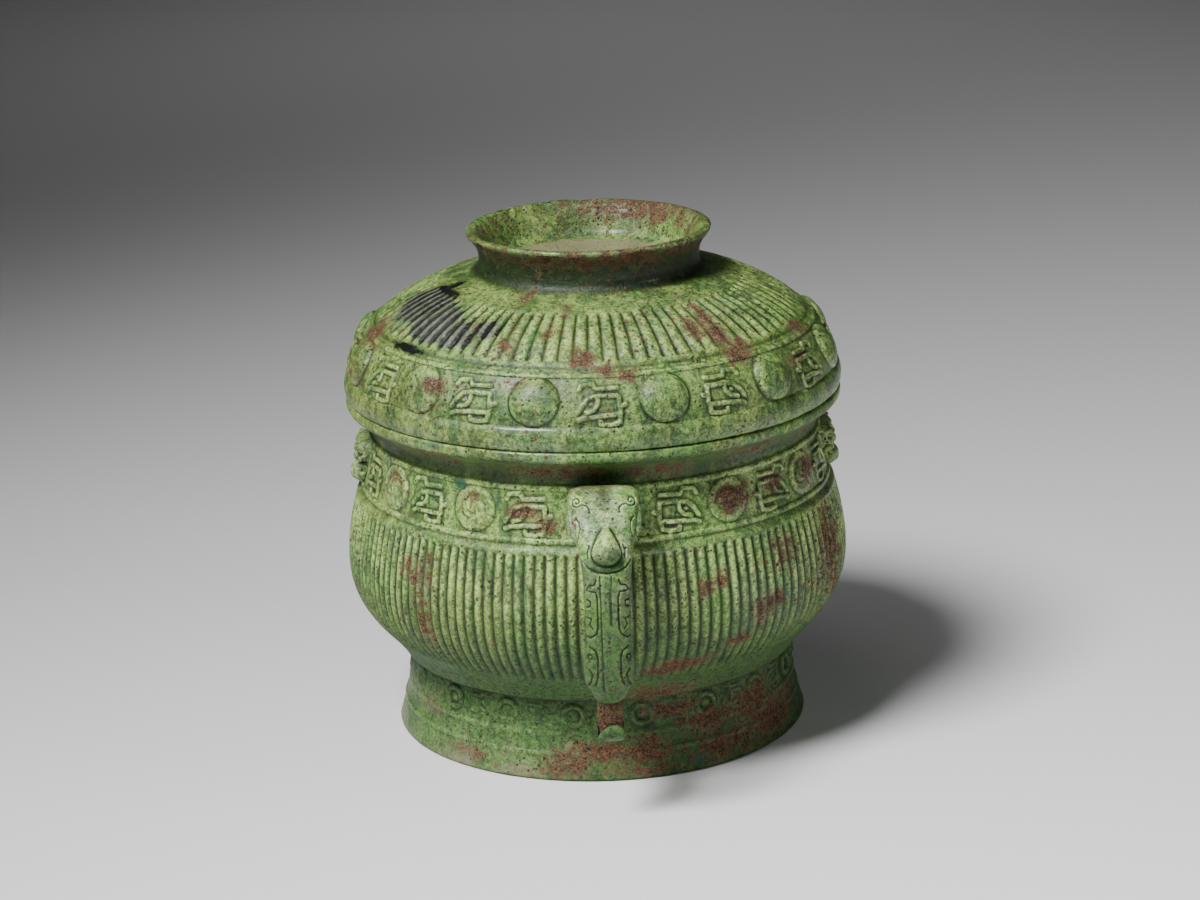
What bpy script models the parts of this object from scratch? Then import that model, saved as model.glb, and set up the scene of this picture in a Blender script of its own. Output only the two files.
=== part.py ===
# Lidded ritual vessel of cast bronze: a ribbed bowl on a flared foot, with two beast-head handles,
# two beast masks and a belt of dragons and roundels, and a ribbed, domed lid with a ring grip.
# Metres, +Z up. The axis is Z, the foot stands on Z = 0, the handles are along Y, the masks along X.

import math

import bmesh
import bpy
from mathutils import Matrix, Vector

# Bowl, outside: radii are given as steps in from the widest ring, heights as a stack from the floor
BELLY_RADIUS = 0.1160
FOOT_HEIGHT = 0.0360
BELT_HEIGHT = 0.0135
RIB_HEIGHT = 0.0625
STRIPE_HEIGHT = 0.0045
BAND_HEIGHT = 0.0230
NECK_HEIGHT = 0.0190
FOOT_INSET = 0.0205
FOOT_WAIST_INSET = 0.0277
BELT_INSET = 0.0248
RIB_FOOT_INSET = 0.0150
RIB_TOP_INSET = 0.0052
BAND_FOOT_INSET = 0.0082
BAND_TOP_INSET = 0.0128
NECK_INSET = 0.0134
LIP_INSET = 0.0024
LIP_HEIGHT = 0.0048
LIP_WIDTH = 0.0066
BELLY_SHARE = 0.53
FOOT_FLARE = 1.6
BELLY_LOW_CURVE = 2.4
BELLY_HIGH_CURVE = 1.7
NECK_CURVE = 2.3

# Bowl, walls
WALL = 0.0032
FOOT_WALL = 0.0040
FLOOR = 0.0038
FLOOR_CURVE = 0.0095
FOOT_CORNER = 0.0038

# Lid
LID_OVERHANG = 0.0007
LID_EDGE_HEIGHT = 0.0098
DOME_HEIGHT = 0.0495
DOME_SIDE_CURVE = 2.43
DOME_TOP_CURVE = 1.86
DOME_INSET = 0.0026
LID_BAND_HEIGHT = 0.0208
LID_STRIPE_HEIGHT = 0.0038
LID_RIB_TOP_RADIUS = 0.0690
LID_WALL = 0.0034
FLANGE_DEPTH = 0.0058
FLANGE_WALL = 0.0034
FLANGE_CLEARANCE = 0.0010
SEAT_GAP = 0.0003
RING_RADIUS = 0.0503
RING_RIM_RADIUS = 0.0560
RING_HEIGHT = 0.0197
RING_WALL = 0.0046
RING_DISH = 0.0024
RING_FLARE = 0.0100
RING_FILLET = 0.0030

# Small breaks along cast edges
EDGE_BREAK = 0.0012

# Ribs and lines
RIB_COUNT = 146
RIB_DEPTH = 0.0016
LID_RIB_COUNT = 90
LID_RIB_DEPTH = 0.0012
LINE_WIDTH = 0.0026
LINE_RELIEF = 0.0008
FOOT_LINES = (0.0118, 0.0205)

# Dragons and roundels
DRAGON_WIDTH = 0.0190
STROKE_WIDTH = 0.0029
DRAGON_RELIEF = 0.0013
ROUNDEL_RADIUS = 0.0100
ROUNDEL_RELIEF = 0.0016
LID_ROUNDEL_RADIUS = 0.0107
ORNAMENT_ROOT = 0.0014
LID_PAIRS = 12
BOWL_DRAGON_ANGLES = (18.3, 46.4, 73.5)
BOWL_ROUNDEL_ANGLES = (31.8, 59.3)

# Handles
FINGER_GAP = 0.0222
STRAP_THICKNESS = 0.0112
STRAP_WIDTH = 0.0196
STRAP_BEVEL = 0.36
HEAD_WIDTH = 0.0300
HEAD_THICKNESS = 0.0170
CALF_WIDTH = 0.0230
SNOUT_WIDTH = 0.0130
CURL_RADIUS = 0.0052
PENDANT_WIDTH = 0.0112
PENDANT_THICKNESS = 0.0042
PENDANT_DROP = 0.0225
PENDANT_INSET = 0.0088
HOOK_REACH = 0.0072
HOOK_HEIGHT = 0.0105
HEAD_DROP = 0.0075
HEEL_RISE = 0.0070
CURL_LENGTH = 0.0105

# Masks
MASK_WIDTH = 0.0300
MASK_HEIGHT = 0.0235
MASK_REACH = 0.0078

# Facets
COLUMNS = 32
ROUNDEL_SIDES = 10
BRONZE = (0.20, 0.29, 0.16, 1.0)
LID_BRONZE = (0.24, 0.33, 0.19, 1.0)

# Heights worked out from the stack
BELT_BOTTOM = FOOT_HEIGHT
RIB_BOTTOM = BELT_BOTTOM + BELT_HEIGHT
RIB_TOP = RIB_BOTTOM + RIB_HEIGHT
BAND_BOTTOM = RIB_TOP + STRIPE_HEIGHT
BAND_TOP = BAND_BOTTOM + BAND_HEIGHT
RIM = BAND_TOP + NECK_HEIGHT
NECK = BAND_TOP + 0.16 * NECK_HEIGHT
LIP = RIM - LIP_HEIGHT
BELLY = RIB_BOTTOM + BELLY_SHARE * RIB_HEIGHT
SEAT = RIM + SEAT_GAP
DOME_FOOT = SEAT + LID_EDGE_HEIGHT
LID_BAND_TOP = DOME_FOOT + LID_BAND_HEIGHT
LIP_RADIUS = BELLY_RADIUS - LIP_INSET
MOUTH_RADIUS = LIP_RADIUS - LIP_WIDTH
LID_RADIUS = LIP_RADIUS + LID_OVERHANG
DOME_RADIUS = LID_RADIUS - DOME_INSET
THROAT_RADIUS = BELLY_RADIUS - NECK_INSET - WALL


def foot_radius(height):
    # A flare: widest on the floor, easing into the waist over the foot
    up = 1.0 - height / FOOT_HEIGHT
    return BELLY_RADIUS - FOOT_WAIST_INSET + (FOOT_WAIST_INSET - FOOT_INSET) * up ** FOOT_FLARE


def belly_radius(height):
    # Two power curves that meet at the widest ring
    if height < BELLY:
        away = (BELLY - height) / (BELLY - RIB_BOTTOM)
        return BELLY_RADIUS - RIB_FOOT_INSET * away ** BELLY_LOW_CURVE
    away = (height - BELLY) / (RIB_TOP - BELLY)
    return BELLY_RADIUS - RIB_TOP_INSET * away ** BELLY_HIGH_CURVE


def belt_radius(height):
    # The plain belt that carries the belly's curve down to the foot
    up = (height - BELT_BOTTOM) / BELT_HEIGHT
    return BELLY_RADIUS - BELT_INSET + (BELT_INSET - RIB_FOOT_INSET) * up ** 1.25


def band_radius(height):
    # The shoulder's cone under the dragons
    up = (height - BAND_BOTTOM) / BAND_HEIGHT
    return BELLY_RADIUS - BAND_FOOT_INSET - (BAND_TOP_INSET - BAND_FOOT_INSET) * up ** 0.8


def neck_radius(height):
    # A hollow curve from the neck out to the lip
    up = max(height - NECK, 0.0) / (LIP - NECK)
    return BELLY_RADIUS - NECK_INSET + (NECK_INSET - LIP_INSET) * min(up, 1.0) ** NECK_CURVE


def mouth_radius(height):
    # The inside of the neck, opening to the mouth that the lid's flange drops into
    up = max(height - NECK, 0.0) / (RIM - NECK)
    return THROAT_RADIUS + (MOUTH_RADIUS - THROAT_RADIUS) * min(up, 1.0) ** 1.8


def dome_radius(height, shrink=0.0):
    # A superellipse over the lid's edge; shrink gives the one a wall further in
    up = (height - DOME_FOOT) / (DOME_HEIGHT - shrink)
    return (DOME_RADIUS - shrink) * (1.0 - up ** DOME_TOP_CURVE) ** (1.0 / DOME_SIDE_CURVE)


def dome_height(radius, shrink=0.0):
    # The same superellipse, read the other way
    out = radius / (DOME_RADIUS - shrink)
    share = (1.0 - out ** DOME_SIDE_CURVE) ** (1.0 / DOME_TOP_CURVE)
    return DOME_FOOT + (DOME_HEIGHT - shrink) * share


def behind(profile, height, depth):
    # The point that lies a given depth behind a profile, square to its surface
    step = 0.0002
    slope = (profile(height + step) - profile(height - step)) / (2.0 * step)
    length = math.hypot(1.0, slope)
    return profile(height) - depth / length, height + depth * slope / length


def line_rings(profile, height):
    # A raised line that runs round the vessel: foot, crest and foot again
    half = LINE_WIDTH / 2.0
    return [(profile(height - half), height - half),
            (profile(height) + LINE_RELIEF, height),
            (profile(height + half), height + half)]


def add_ring(mesh, radius, height, columns=COLUMNS, groove=0.0):
    # A closed ring of points; every second one is set back by the groove
    points = []
    for i in range(columns):
        angle = 2.0 * math.pi * i / columns
        reach = radius - groove * (i % 2)
        points.append(mesh.verts.new((reach * math.cos(angle), reach * math.sin(angle), height)))
    return points, [mesh.edges.new((points[i - 1], points[i])) for i in range(columns)]


def turned_shell(rings):
    # Joins each ring to the next, by four-sided faces where both have as many points, and closes
    # the first and the last with a flat face
    mesh = bmesh.new()
    loops = [add_ring(mesh, *ring) for ring in rings]
    for (points, edges), (next_points, next_edges) in zip(loops, loops[1:]):
        if len(points) != len(next_points):
            bmesh.ops.bridge_loops(mesh, edges=edges + next_edges)
            continue
        for i in range(len(points)):
            mesh.faces.new((points[i - 1], points[i], next_points[i], next_points[i - 1]))
    mesh.faces.new(loops[0][0])
    mesh.faces.new(loops[-1][0])
    bmesh.ops.recalc_face_normals(mesh, faces=mesh.faces)
    return mesh


def skin(mesh, loops):
    # A closed skin over loops of points of one count, with a flat face at each end
    rows = [[mesh.verts.new(point) for point in loop] for loop in loops]
    for row, above in zip(rows, rows[1:]):
        for i in range(len(row)):
            mesh.faces.new((row[i - 1], row[i], above[i], above[i - 1]))
    mesh.faces.new(rows[0])
    mesh.faces.new(rows[-1])


def make_node(name, mesh, colour):
    bmesh.ops.recalc_face_normals(mesh, faces=mesh.faces)
    data = bpy.data.meshes.new(name)
    mesh.to_mesh(data)
    mesh.free()
    data.shade_smooth()
    data.set_sharp_from_angle(angle=math.radians(40.0))
    material = bpy.data.materials.new(name + "_bronze")
    material.use_nodes = True
    shader = material.node_tree.nodes["Principled BSDF"]
    shader.inputs["Base Color"].default_value = colour
    shader.inputs["Roughness"].default_value = 0.6
    shader.inputs["Metallic"].default_value = 0.35
    data.materials.append(material)
    node = bpy.data.objects.new(name, data)
    bpy.context.collection.objects.link(node)
    return node


def weld_on(node, name, mesh):
    # Joins cast-on work to its node, as one body of metal
    tool = make_node(name, mesh, BRONZE)
    tool.hide_render = True
    tool.display_type = "WIRE"
    union = node.modifiers.new(name, "BOOLEAN")
    union.operation = "UNION"
    union.solver = "EXACT"
    union.use_self = True
    union.object = tool


def on_surface(profile, height, angle):
    # Gives a function that lays a flat drawing on a turned surface round one point:
    # across runs round the vessel, up runs up the profile and out stands off it
    slope = (profile(height + 0.001) - profile(height - 0.001)) / 0.002
    rise = 1.0 / math.hypot(1.0, slope)
    radius_here = profile(height)

    def place(across, up, out):
        radius, level = behind(profile, height + up * rise, -out)
        turn = angle + across / radius_here
        return Vector((radius * math.sin(turn), -radius * math.cos(turn), level))

    return place


def stroke_outline(path, width):
    # Both sides of a bent stroke, mitred at its corners
    points = [Vector(point) for point in path]
    left = []
    right = []
    for i, point in enumerate(points):
        before = (point - points[i - 1]).normalized() if i > 0 else None
        after = (points[i + 1] - point).normalized() if i + 1 < len(points) else before
        before = before or after
        side = Vector((-(before + after).y, (before + after).x)).normalized()
        reach = width / 2.0 / max(side.dot(Vector((-before.y, before.x))), 0.5)
        left.append(point + side * reach)
        right.append(point - side * reach)
    return left + right[::-1]


def raise_outline(mesh, outline, place, relief):
    skin(mesh, [[place(x, y, -ORNAMENT_ROOT) for x, y in outline],
                [place(x, y, relief) for x, y in outline]])


def add_dragon(mesh, place, height, facing):
    # A square-spiral dragon: jaw, crest, back and a tail that bends in under its own head
    wide = DRAGON_WIDTH / 2.0 * facing
    high = height / 2.0
    path = [(-0.80 * wide, 0.30 * high), (0.10 * wide, 0.75 * high), (0.80 * wide, -0.05 * high),
            (0.55 * wide, -0.78 * high), (-0.75 * wide, -0.72 * high)]
    raise_outline(mesh, stroke_outline(path, STROKE_WIDTH), place, DRAGON_RELIEF)


def add_roundel(mesh, place, steps):
    # A round boss from rings given as radius and height off the surface
    loops = []
    turns = [2.0 * math.pi * i / ROUNDEL_SIDES for i in range(ROUNDEL_SIDES)]
    for radius, out in steps:
        loops.append([place(radius * math.cos(a), radius * math.sin(a), out) for a in turns])
    skin(mesh, loops)


def strap_section(centre, pitch, width, thickness):
    # An eight-sided section across a handle, square to a path that leaves the vessel at a pitch
    corner = STRAP_BEVEL * min(width, thickness)
    half_w = width / 2.0
    half_t = thickness / 2.0
    corners = [(-half_w, -half_t + corner), (-half_w + corner, -half_t),
               (half_w - corner, -half_t), (half_w, -half_t + corner),
               (half_w, half_t - corner), (half_w - corner, half_t),
               (-half_w + corner, half_t), (-half_w, half_t - corner)]
    radius, height = centre
    return [Vector((x, t * math.sin(pitch) - radius, height + t * math.cos(pitch)))
            for x, t in corners]


def strap_loops(stations):
    # Sections along a path of (radius, height, width, thickness), each turned half way
    # between the stretch before it and the stretch after it
    loops = []
    for i, (radius, height, width, thickness) in enumerate(stations):
        before = stations[max(i - 1, 0)]
        after = stations[min(i + 1, len(stations) - 1)]
        pitch = math.atan2(after[1] - before[1], after[0] - before[0])
        loops.append(strap_section((radius, height), pitch, width, thickness))
    return loops


def curl(mesh, centre, axis, radius, length):
    # A short stub whose round end stands proud of the head as an ear or a cheek curl
    turn = axis.to_track_quat("Z", "Y").to_matrix().to_4x4()
    bmesh.ops.create_cone(mesh, cap_ends=True, segments=6, radius1=radius, radius2=0.8 * radius,
                          depth=length, matrix=Matrix.Translation(centre) @ turn)


def add_handle(mesh):
    # Head, strap, calf and lower root as one skin, then snout, curls and pendant
    back = BELLY_RADIUS + FINGER_GAP + STRAP_THICKNESS / 2.0
    root = BELLY_RADIUS - NECK_INSET - 0.3 * WALL
    top = BAND_TOP - HEAD_DROP
    heel = RIB_BOTTOM + HEEL_RISE
    heel_radius = belly_radius(heel) - RIB_DEPTH - 0.6 * WALL
    reach = back - root
    fall = top - heel
    # Shares of the reach and of the fall, then width and thickness
    course = [(0.0, 1.0, 0.86 * HEAD_WIDTH, HEAD_THICKNESS),
              (0.24, 1.04, HEAD_WIDTH, HEAD_THICKNESS),
              (0.58, 1.007, 0.97 * HEAD_WIDTH, HEAD_THICKNESS),
              (0.86, 0.894, 0.86 * HEAD_WIDTH, 0.86 * HEAD_THICKNESS),
              (0.985, 0.775, 1.1 * STRAP_WIDTH, 1.1 * STRAP_THICKNESS),
              (1.0, 0.649, STRAP_WIDTH, STRAP_THICKNESS),
              (1.0, 0.286, STRAP_WIDTH, STRAP_THICKNESS),
              (0.965, 0.138, CALF_WIDTH, STRAP_THICKNESS),
              (0.82, 0.016, 0.96 * CALF_WIDTH, STRAP_THICKNESS),
              (0.55, -0.040, 0.80 * CALF_WIDTH, STRAP_THICKNESS)]
    stations = [(root + out * reach, heel + up * fall, width, thickness)
                for out, up, width, thickness in course]
    stations.append((heel_radius, heel, 0.70 * CALF_WIDTH, STRAP_THICKNESS))
    skin(mesh, strap_loops(stations))
    snout = Vector((0.0, -back - 0.01 * reach, heel + 0.826 * fall))
    size = Matrix.Diagonal((SNOUT_WIDTH / 2.0, 0.48 * SNOUT_WIDTH, 0.69 * SNOUT_WIDTH, 1.0))
    tilt = Matrix.Rotation(math.radians(-28.0), 4, "X")
    bmesh.ops.create_uvsphere(mesh, u_segments=6, v_segments=5, radius=1.0,
                              matrix=Matrix.Translation(snout) @ tilt @ size)
    for side in (-1.0, 1.0):
        ear = Vector((side * 0.40 * HEAD_WIDTH, -root - 0.36 * reach, heel + 1.086 * fall))
        curl(mesh, ear, Vector((0.22 * side, -0.45, 1.0)), CURL_RADIUS, 1.2 * CURL_LENGTH)
        cheek = Vector((side * 0.40 * HEAD_WIDTH, -root - 0.66 * reach, heel + 0.967 * fall))
        curl(mesh, cheek, Vector((side, 0.0, 0.0)), 0.9 * CURL_RADIUS, 0.8 * CURL_LENGTH)
    add_pendant(mesh, back - PENDANT_INSET, heel)


def add_pendant(mesh, hang, heel):
    # A flat tongue under the calf whose foot turns outward and up as a hook
    low = heel - PENDANT_DROP
    front = hang + PENDANT_THICKNESS
    shares = [(0.31, 0.21), (0.83, 0.0), (1.0, 0.74), (0.72, 0.67), (0.72, 0.38)]
    hook = [(hang, heel), (hang, low + 0.95 * HOOK_HEIGHT)]
    hook += [(hang + out * HOOK_REACH, low + up * HOOK_HEIGHT) for out, up in shares]
    hook += [(front, low + HOOK_HEIGHT), (front, heel)]
    skin(mesh, [[Vector((x, -radius, height)) for radius, height in hook]
                for x in (-PENDANT_WIDTH / 2.0, PENDANT_WIDTH / 2.0)])


def add_mask(mesh):
    # A beast's face seen from the front: curled ears, brow, cheeks and jaw, then its snout
    half = [(0.12, 0.38), (0.26, 0.50), (0.44, 0.50), (0.50, 0.30), (0.38, 0.06), (0.26, -0.32),
            (0.14, -0.50)]
    outline = half + [(-x, y) for x, y in reversed(half)]
    level = (BAND_BOTTOM + BAND_TOP) / 2.0
    wall = band_radius(level)
    loops = []
    for out, share in ((-0.4 * WALL, 1.0), (0.72 * MASK_REACH, 1.0), (MASK_REACH, 0.72)):
        loops.append([Vector((wall + out, share * x * MASK_WIDTH, level + share * y * MASK_HEIGHT))
                      for x, y in outline])
    skin(mesh, loops)
    snout = Vector((wall + 0.80 * MASK_REACH, 0.0, level - 0.26 * MASK_HEIGHT))
    size = Matrix.Diagonal((0.44 * MASK_REACH, 0.16 * MASK_WIDTH, 0.24 * MASK_HEIGHT, 1.0))
    bmesh.ops.create_uvsphere(mesh, u_segments=6, v_segments=5, radius=1.0,
                              matrix=Matrix.Translation(snout) @ size)


def with_opposite(draw):
    # Draws a piece of cast-on work and the same again half a turn round the axis
    mesh = bmesh.new()
    for turn in (0.0, math.pi):
        one = bmesh.new()
        draw(one)
        bmesh.ops.recalc_face_normals(one, faces=one.faces)
        bmesh.ops.rotate(one, verts=one.verts, cent=(0.0, 0.0, 0.0),
                         matrix=Matrix.Rotation(turn, 3, "Z"))
        part = bpy.data.meshes.new("half")
        one.to_mesh(part)
        one.free()
        mesh.from_mesh(part)
        bpy.data.meshes.remove(part)
    return mesh


def bowl_rings():
    # From the middle of the floor inside, over the rim, down the outside and under the foot
    rib_columns = 2 * RIB_COUNT

    def core(height):
        return belly_radius(height) - RIB_DEPTH

    floor = FOOT_HEIGHT + FLOOR
    inside = [(BELLY_RADIUS - 2.2 * FOOT_WAIST_INSET, floor),
              (behind(core, RIB_BOTTOM, WALL)[0] - FLOOR_CURVE, floor + 0.23 * FLOOR_CURVE)]
    for share in (0.06, 0.28, 0.62, 1.0):
        inside.append(behind(core, RIB_BOTTOM + share * RIB_HEIGHT, WALL))
    for share in (0.0, 0.60, 1.0):
        height = NECK + share * (RIM - NECK)
        inside.append((mouth_radius(height), height))
    outside = [(LIP_RADIUS, RIM)]
    for share in (1.0, 0.60):
        height = NECK + share * (LIP - NECK)
        outside.append((neck_radius(height), height))
    outside += reversed(line_rings(band_radius, BAND_TOP))
    outside += reversed(line_rings(band_radius, BAND_BOTTOM + 0.5 * LINE_WIDTH))
    outside.append((belly_radius(RIB_TOP) - 0.2 * RIB_DEPTH, RIB_TOP + 0.22 * STRIPE_HEIGHT))
    for share in (0.98, 0.60, 0.24, 0.03):
        height = RIB_BOTTOM + share * RIB_HEIGHT
        outside.append((belly_radius(height), height, rib_columns, RIB_DEPTH))
    outside.append((belt_radius(RIB_BOTTOM - EDGE_BREAK), RIB_BOTTOM - EDGE_BREAK))
    outside += [(belt_radius(BELT_BOTTOM + 0.12 * BELT_HEIGHT), BELT_BOTTOM + 0.12 * BELT_HEIGHT),
                (foot_radius(FOOT_HEIGHT), FOOT_HEIGHT)]
    for height in reversed(FOOT_LINES):
        outside += reversed(line_rings(foot_radius, height))
    outside += [(foot_radius(0.0), EDGE_BREAK), (foot_radius(0.0) - 0.67 * EDGE_BREAK, 0.0)]
    under = [(foot_radius(0.0) - FOOT_WALL, 0.0),
             (foot_radius(FOOT_HEIGHT) - FOOT_WALL, FOOT_HEIGHT - FOOT_CORNER),
             (foot_radius(FOOT_HEIGHT) - FOOT_WALL - FOOT_CORNER, FOOT_HEIGHT)]
    return inside + outside + under


def lid_rings():
    # From the middle of the ring's dish, over the grip, down the dome and under it again
    rib_columns = 2 * LID_RIB_COUNT
    ring_foot = dome_height(RING_RADIUS)
    ring_top = ring_foot + RING_HEIGHT
    dish = ring_foot + RING_DISH
    rings = [(RING_RADIUS - RING_WALL - RING_FILLET, dish),
             (RING_RADIUS - RING_WALL, dish + RING_FILLET),
             (RING_RIM_RADIUS - RING_WALL, ring_top - EDGE_BREAK),
             (RING_RIM_RADIUS - EDGE_BREAK, ring_top),
             (RING_RIM_RADIUS, ring_top - EDGE_BREAK),
             (RING_RADIUS, ring_top - RING_FLARE),
             (RING_RADIUS, ring_foot + 0.8 * RING_FILLET),
             (RING_RADIUS + RING_FILLET, dome_height(RING_RADIUS + RING_FILLET))]
    rib_foot_radius = dome_radius(LID_BAND_TOP + LID_STRIPE_HEIGHT)
    rings.append((LID_RIB_TOP_RADIUS, dome_height(LID_RIB_TOP_RADIUS)))
    for share in (0.06, 0.50, 0.98):
        radius = LID_RIB_TOP_RADIUS + share * (rib_foot_radius - LID_RIB_TOP_RADIUS)
        rings.append((radius, dome_height(radius), rib_columns, LID_RIB_DEPTH))
    rib_end = rib_foot_radius + 0.67 * EDGE_BREAK
    rings.append((rib_end, dome_height(rib_end)))
    rings += reversed(line_rings(dome_radius, LID_BAND_TOP))
    middle = DOME_FOOT + 0.52 * LID_BAND_HEIGHT
    rings.append((dome_radius(middle), middle))
    rings += [(dome_radius(DOME_FOOT + EDGE_BREAK), DOME_FOOT + EDGE_BREAK),
              (DOME_RADIUS + EDGE_BREAK, DOME_FOOT),
              (LID_RADIUS, DOME_FOOT - 0.42 * LID_EDGE_HEIGHT),
              (LID_RADIUS - 0.75 * EDGE_BREAK, SEAT)]
    flange_foot = SEAT - FLANGE_DEPTH
    rings += [(mouth_radius(RIM) - FLANGE_CLEARANCE, SEAT),
              (mouth_radius(flange_foot) - FLANGE_CLEARANCE, flange_foot),
              (mouth_radius(flange_foot) - FLANGE_CLEARANCE - FLANGE_WALL, flange_foot)]
    for share in (0.10, 0.52, 0.80, 0.95):
        height = DOME_FOOT + share * (DOME_HEIGHT - LID_WALL)
        rings.append((dome_radius(height, LID_WALL), height))
    return rings


def bowl_ornament():
    # Per quarter: a dragon, a roundel, a dragon, a roundel and a dragon, mirrored at each handle
    mesh = bmesh.new()
    level = BAND_BOTTOM + 0.53 * BAND_HEIGHT
    tall = BAND_HEIGHT - LINE_WIDTH
    rim = [(ROUNDEL_RADIUS, -ORNAMENT_ROOT), (0.90 * ROUNDEL_RADIUS, ROUNDEL_RELIEF),
           (0.55 * ROUNDEL_RADIUS, 0.3 * ROUNDEL_RELIEF)]
    for middle in (0.0, math.pi):
        for side in (-1.0, 1.0):
            for angle in BOWL_DRAGON_ANGLES:
                place = on_surface(band_radius, level, middle + side * math.radians(angle))
                add_dragon(mesh, place, 0.92 * tall, side)
            for angle in BOWL_ROUNDEL_ANGLES:
                place = on_surface(band_radius, level, middle + side * math.radians(angle))
                add_roundel(mesh, place, rim)
    return mesh


def lid_ornament():
    # Dragons and domed roundels turn about, one pair to each share of the circle
    mesh = bmesh.new()
    level = DOME_FOOT + 0.52 * LID_BAND_HEIGHT
    tall = LID_BAND_HEIGHT
    dome = [(LID_ROUNDEL_RADIUS, -ORNAMENT_ROOT), (0.74 * LID_ROUNDEL_RADIUS, ROUNDEL_RELIEF)]
    share = 2.0 * math.pi / LID_PAIRS
    for i in range(LID_PAIRS):
        facing = -1.0 if 0 < i < LID_PAIRS / 2 else 1.0
        add_dragon(mesh, on_surface(dome_radius, level, i * share), 0.90 * tall, -facing)
        add_roundel(mesh, on_surface(dome_radius, level, (i + 0.5) * share), dome)
    return mesh


for old in list(bpy.data.objects):
    bpy.data.objects.remove(old, do_unlink=True)

bowl = make_node("bowl", turned_shell(bowl_rings()), BRONZE)
weld_on(bowl, "bowl_ornament", bowl_ornament())
weld_on(bowl, "handles", with_opposite(add_handle))
weld_on(bowl, "masks", with_opposite(add_mask))
lid = make_node("lid", turned_shell(lid_rings()), LID_BRONZE)
weld_on(lid, "lid_ornament", lid_ornament())
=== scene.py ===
# Lidded bronze vessel: cast relief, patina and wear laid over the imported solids.
# Shapes are worked out in millimetres and put into their meshes in metres.
import math

import bpy
import numpy as np
from mathutils import Matrix


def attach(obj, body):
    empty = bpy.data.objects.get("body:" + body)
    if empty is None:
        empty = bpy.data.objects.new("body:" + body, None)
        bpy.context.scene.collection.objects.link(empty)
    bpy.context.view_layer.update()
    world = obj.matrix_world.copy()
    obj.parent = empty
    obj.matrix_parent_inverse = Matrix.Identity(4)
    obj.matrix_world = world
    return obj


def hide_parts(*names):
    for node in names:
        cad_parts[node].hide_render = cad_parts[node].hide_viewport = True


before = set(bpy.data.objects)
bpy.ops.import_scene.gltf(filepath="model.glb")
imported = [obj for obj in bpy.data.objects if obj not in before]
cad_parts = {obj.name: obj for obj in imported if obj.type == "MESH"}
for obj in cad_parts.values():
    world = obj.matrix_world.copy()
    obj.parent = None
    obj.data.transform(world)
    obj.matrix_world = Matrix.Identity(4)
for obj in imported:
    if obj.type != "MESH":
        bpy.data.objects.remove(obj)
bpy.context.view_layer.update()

quarter = np.pi / 2


def softNoise(points, size, seed):
    # Value noise from -1 to 1: a number for each corner of a cubic lattice, blended smoothly between
    place = points / size + 512.0
    cell = np.floor(place).astype(np.int64)
    part = place - cell
    part = part * part * (3.0 - 2.0 * part)
    total = 0.0
    for corner in range(8):
        step = np.array([corner & 1, (corner >> 1) & 1, (corner >> 2) & 1])
        at = cell + step
        mixed = (at[..., 0] * 73856093) ^ (at[..., 1] * 19349663) ^ (at[..., 2] * 83492791) ^ (seed * 7919)
        mixed = ((mixed ^ (mixed >> 13)) * 1274126177) & 0x7FFFFFFF
        value = ((mixed ^ (mixed >> 15)) & 0xFFFF) / 65535.0
        total = total + value * np.prod(np.where(step == 1, part, 1.0 - part), axis=-1)
    return 2.0 * total - 1.0


def ease(value, low, high):
    # 0 below low, 1 above high, and an S-curve between
    share = np.clip((value - low) / (high - low), 0.0, 1.0)
    return share * share * (3.0 - 2.0 * share)


def fade(value, low, high):
    # 1 below low and 0 above high
    return ease(-value, -high, -low)


def window(value, start, full, wane, end):
    # Rises from start to full, stays at 1, and falls from wane to end
    return ease(value, start, full) * fade(value, wane, end)


def smoothed(field, passes, wrap=True):
    # Repeated three-point means along both ways of a grid; columns close into a ring
    for turn in range(passes):
        if wrap:
            field = (np.roll(field, 1, 1) + field + np.roll(field, -1, 1)) / 3.0
        else:
            side = np.pad(field, ((0, 0), (1, 1)), mode="edge")
            field = (side[:, :-2] + side[:, 1:-1] + side[:, 2:]) / 3.0
        above = np.pad(field, ((1, 1), (0, 0)), mode="edge")
        field = (above[:-2] + above[1:-1] + above[2:]) / 3.0
    return field


def hollowOf(relief, passes, depth, wrap=True):
    # 0.5 on level ground, towards 1 in a hollow and towards 0 on a crest
    return np.clip(0.5 + (smoothed(relief, passes, wrap) - relief) / (2.0 * depth), 0.0, 1.0)


def around(radius, height, turn):
    # A point of the vessel: turn is measured from the front handle, growing to the viewer's right
    radius, height, turn = np.broadcast_arrays(radius, height, turn)
    return np.stack([radius * np.sin(turn), -radius * np.cos(turn), height], axis=-1)


def turnOf(points):
    return np.arctan2(points[..., 0], -points[..., 1])


def fromMiddle(turn, middle):
    # Signed angle from one turn to another, the short way round
    return (turn - middle + np.pi) % (2.0 * np.pi) - np.pi


def nearestTurn(turn, middles):
    # Signed angle from each point to the nearest of some motifs, and which one that is
    gap = fromMiddle(turn[..., None], middles)
    which = np.argmin(np.abs(gap), axis=-1)
    return np.take_along_axis(gap, which[..., None], axis=-1)[..., 0], which


def strokeGap(x, y, paths):
    # Distance from each point to the nearest of some bent strokes
    best = np.full(np.broadcast(x, y).shape, 99.0)
    for path in paths:
        for (ax, ay), (bx, by) in zip(path, path[1:]):
            dx, dy = bx - ax, by - ay
            share = np.clip(((x - ax) * dx + (y - ay) * dy) / (dx * dx + dy * dy), 0.0, 1.0)
            best = np.minimum(best, np.hypot(x - ax - share * dx, y - ay - share * dy))
    return best


def bar(gap, half, soft):
    # 1 on a stroke, falling to 0 across its rounded flank
    return ease(half + soft - gap, 0.0, 2.0 * soft)


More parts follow.
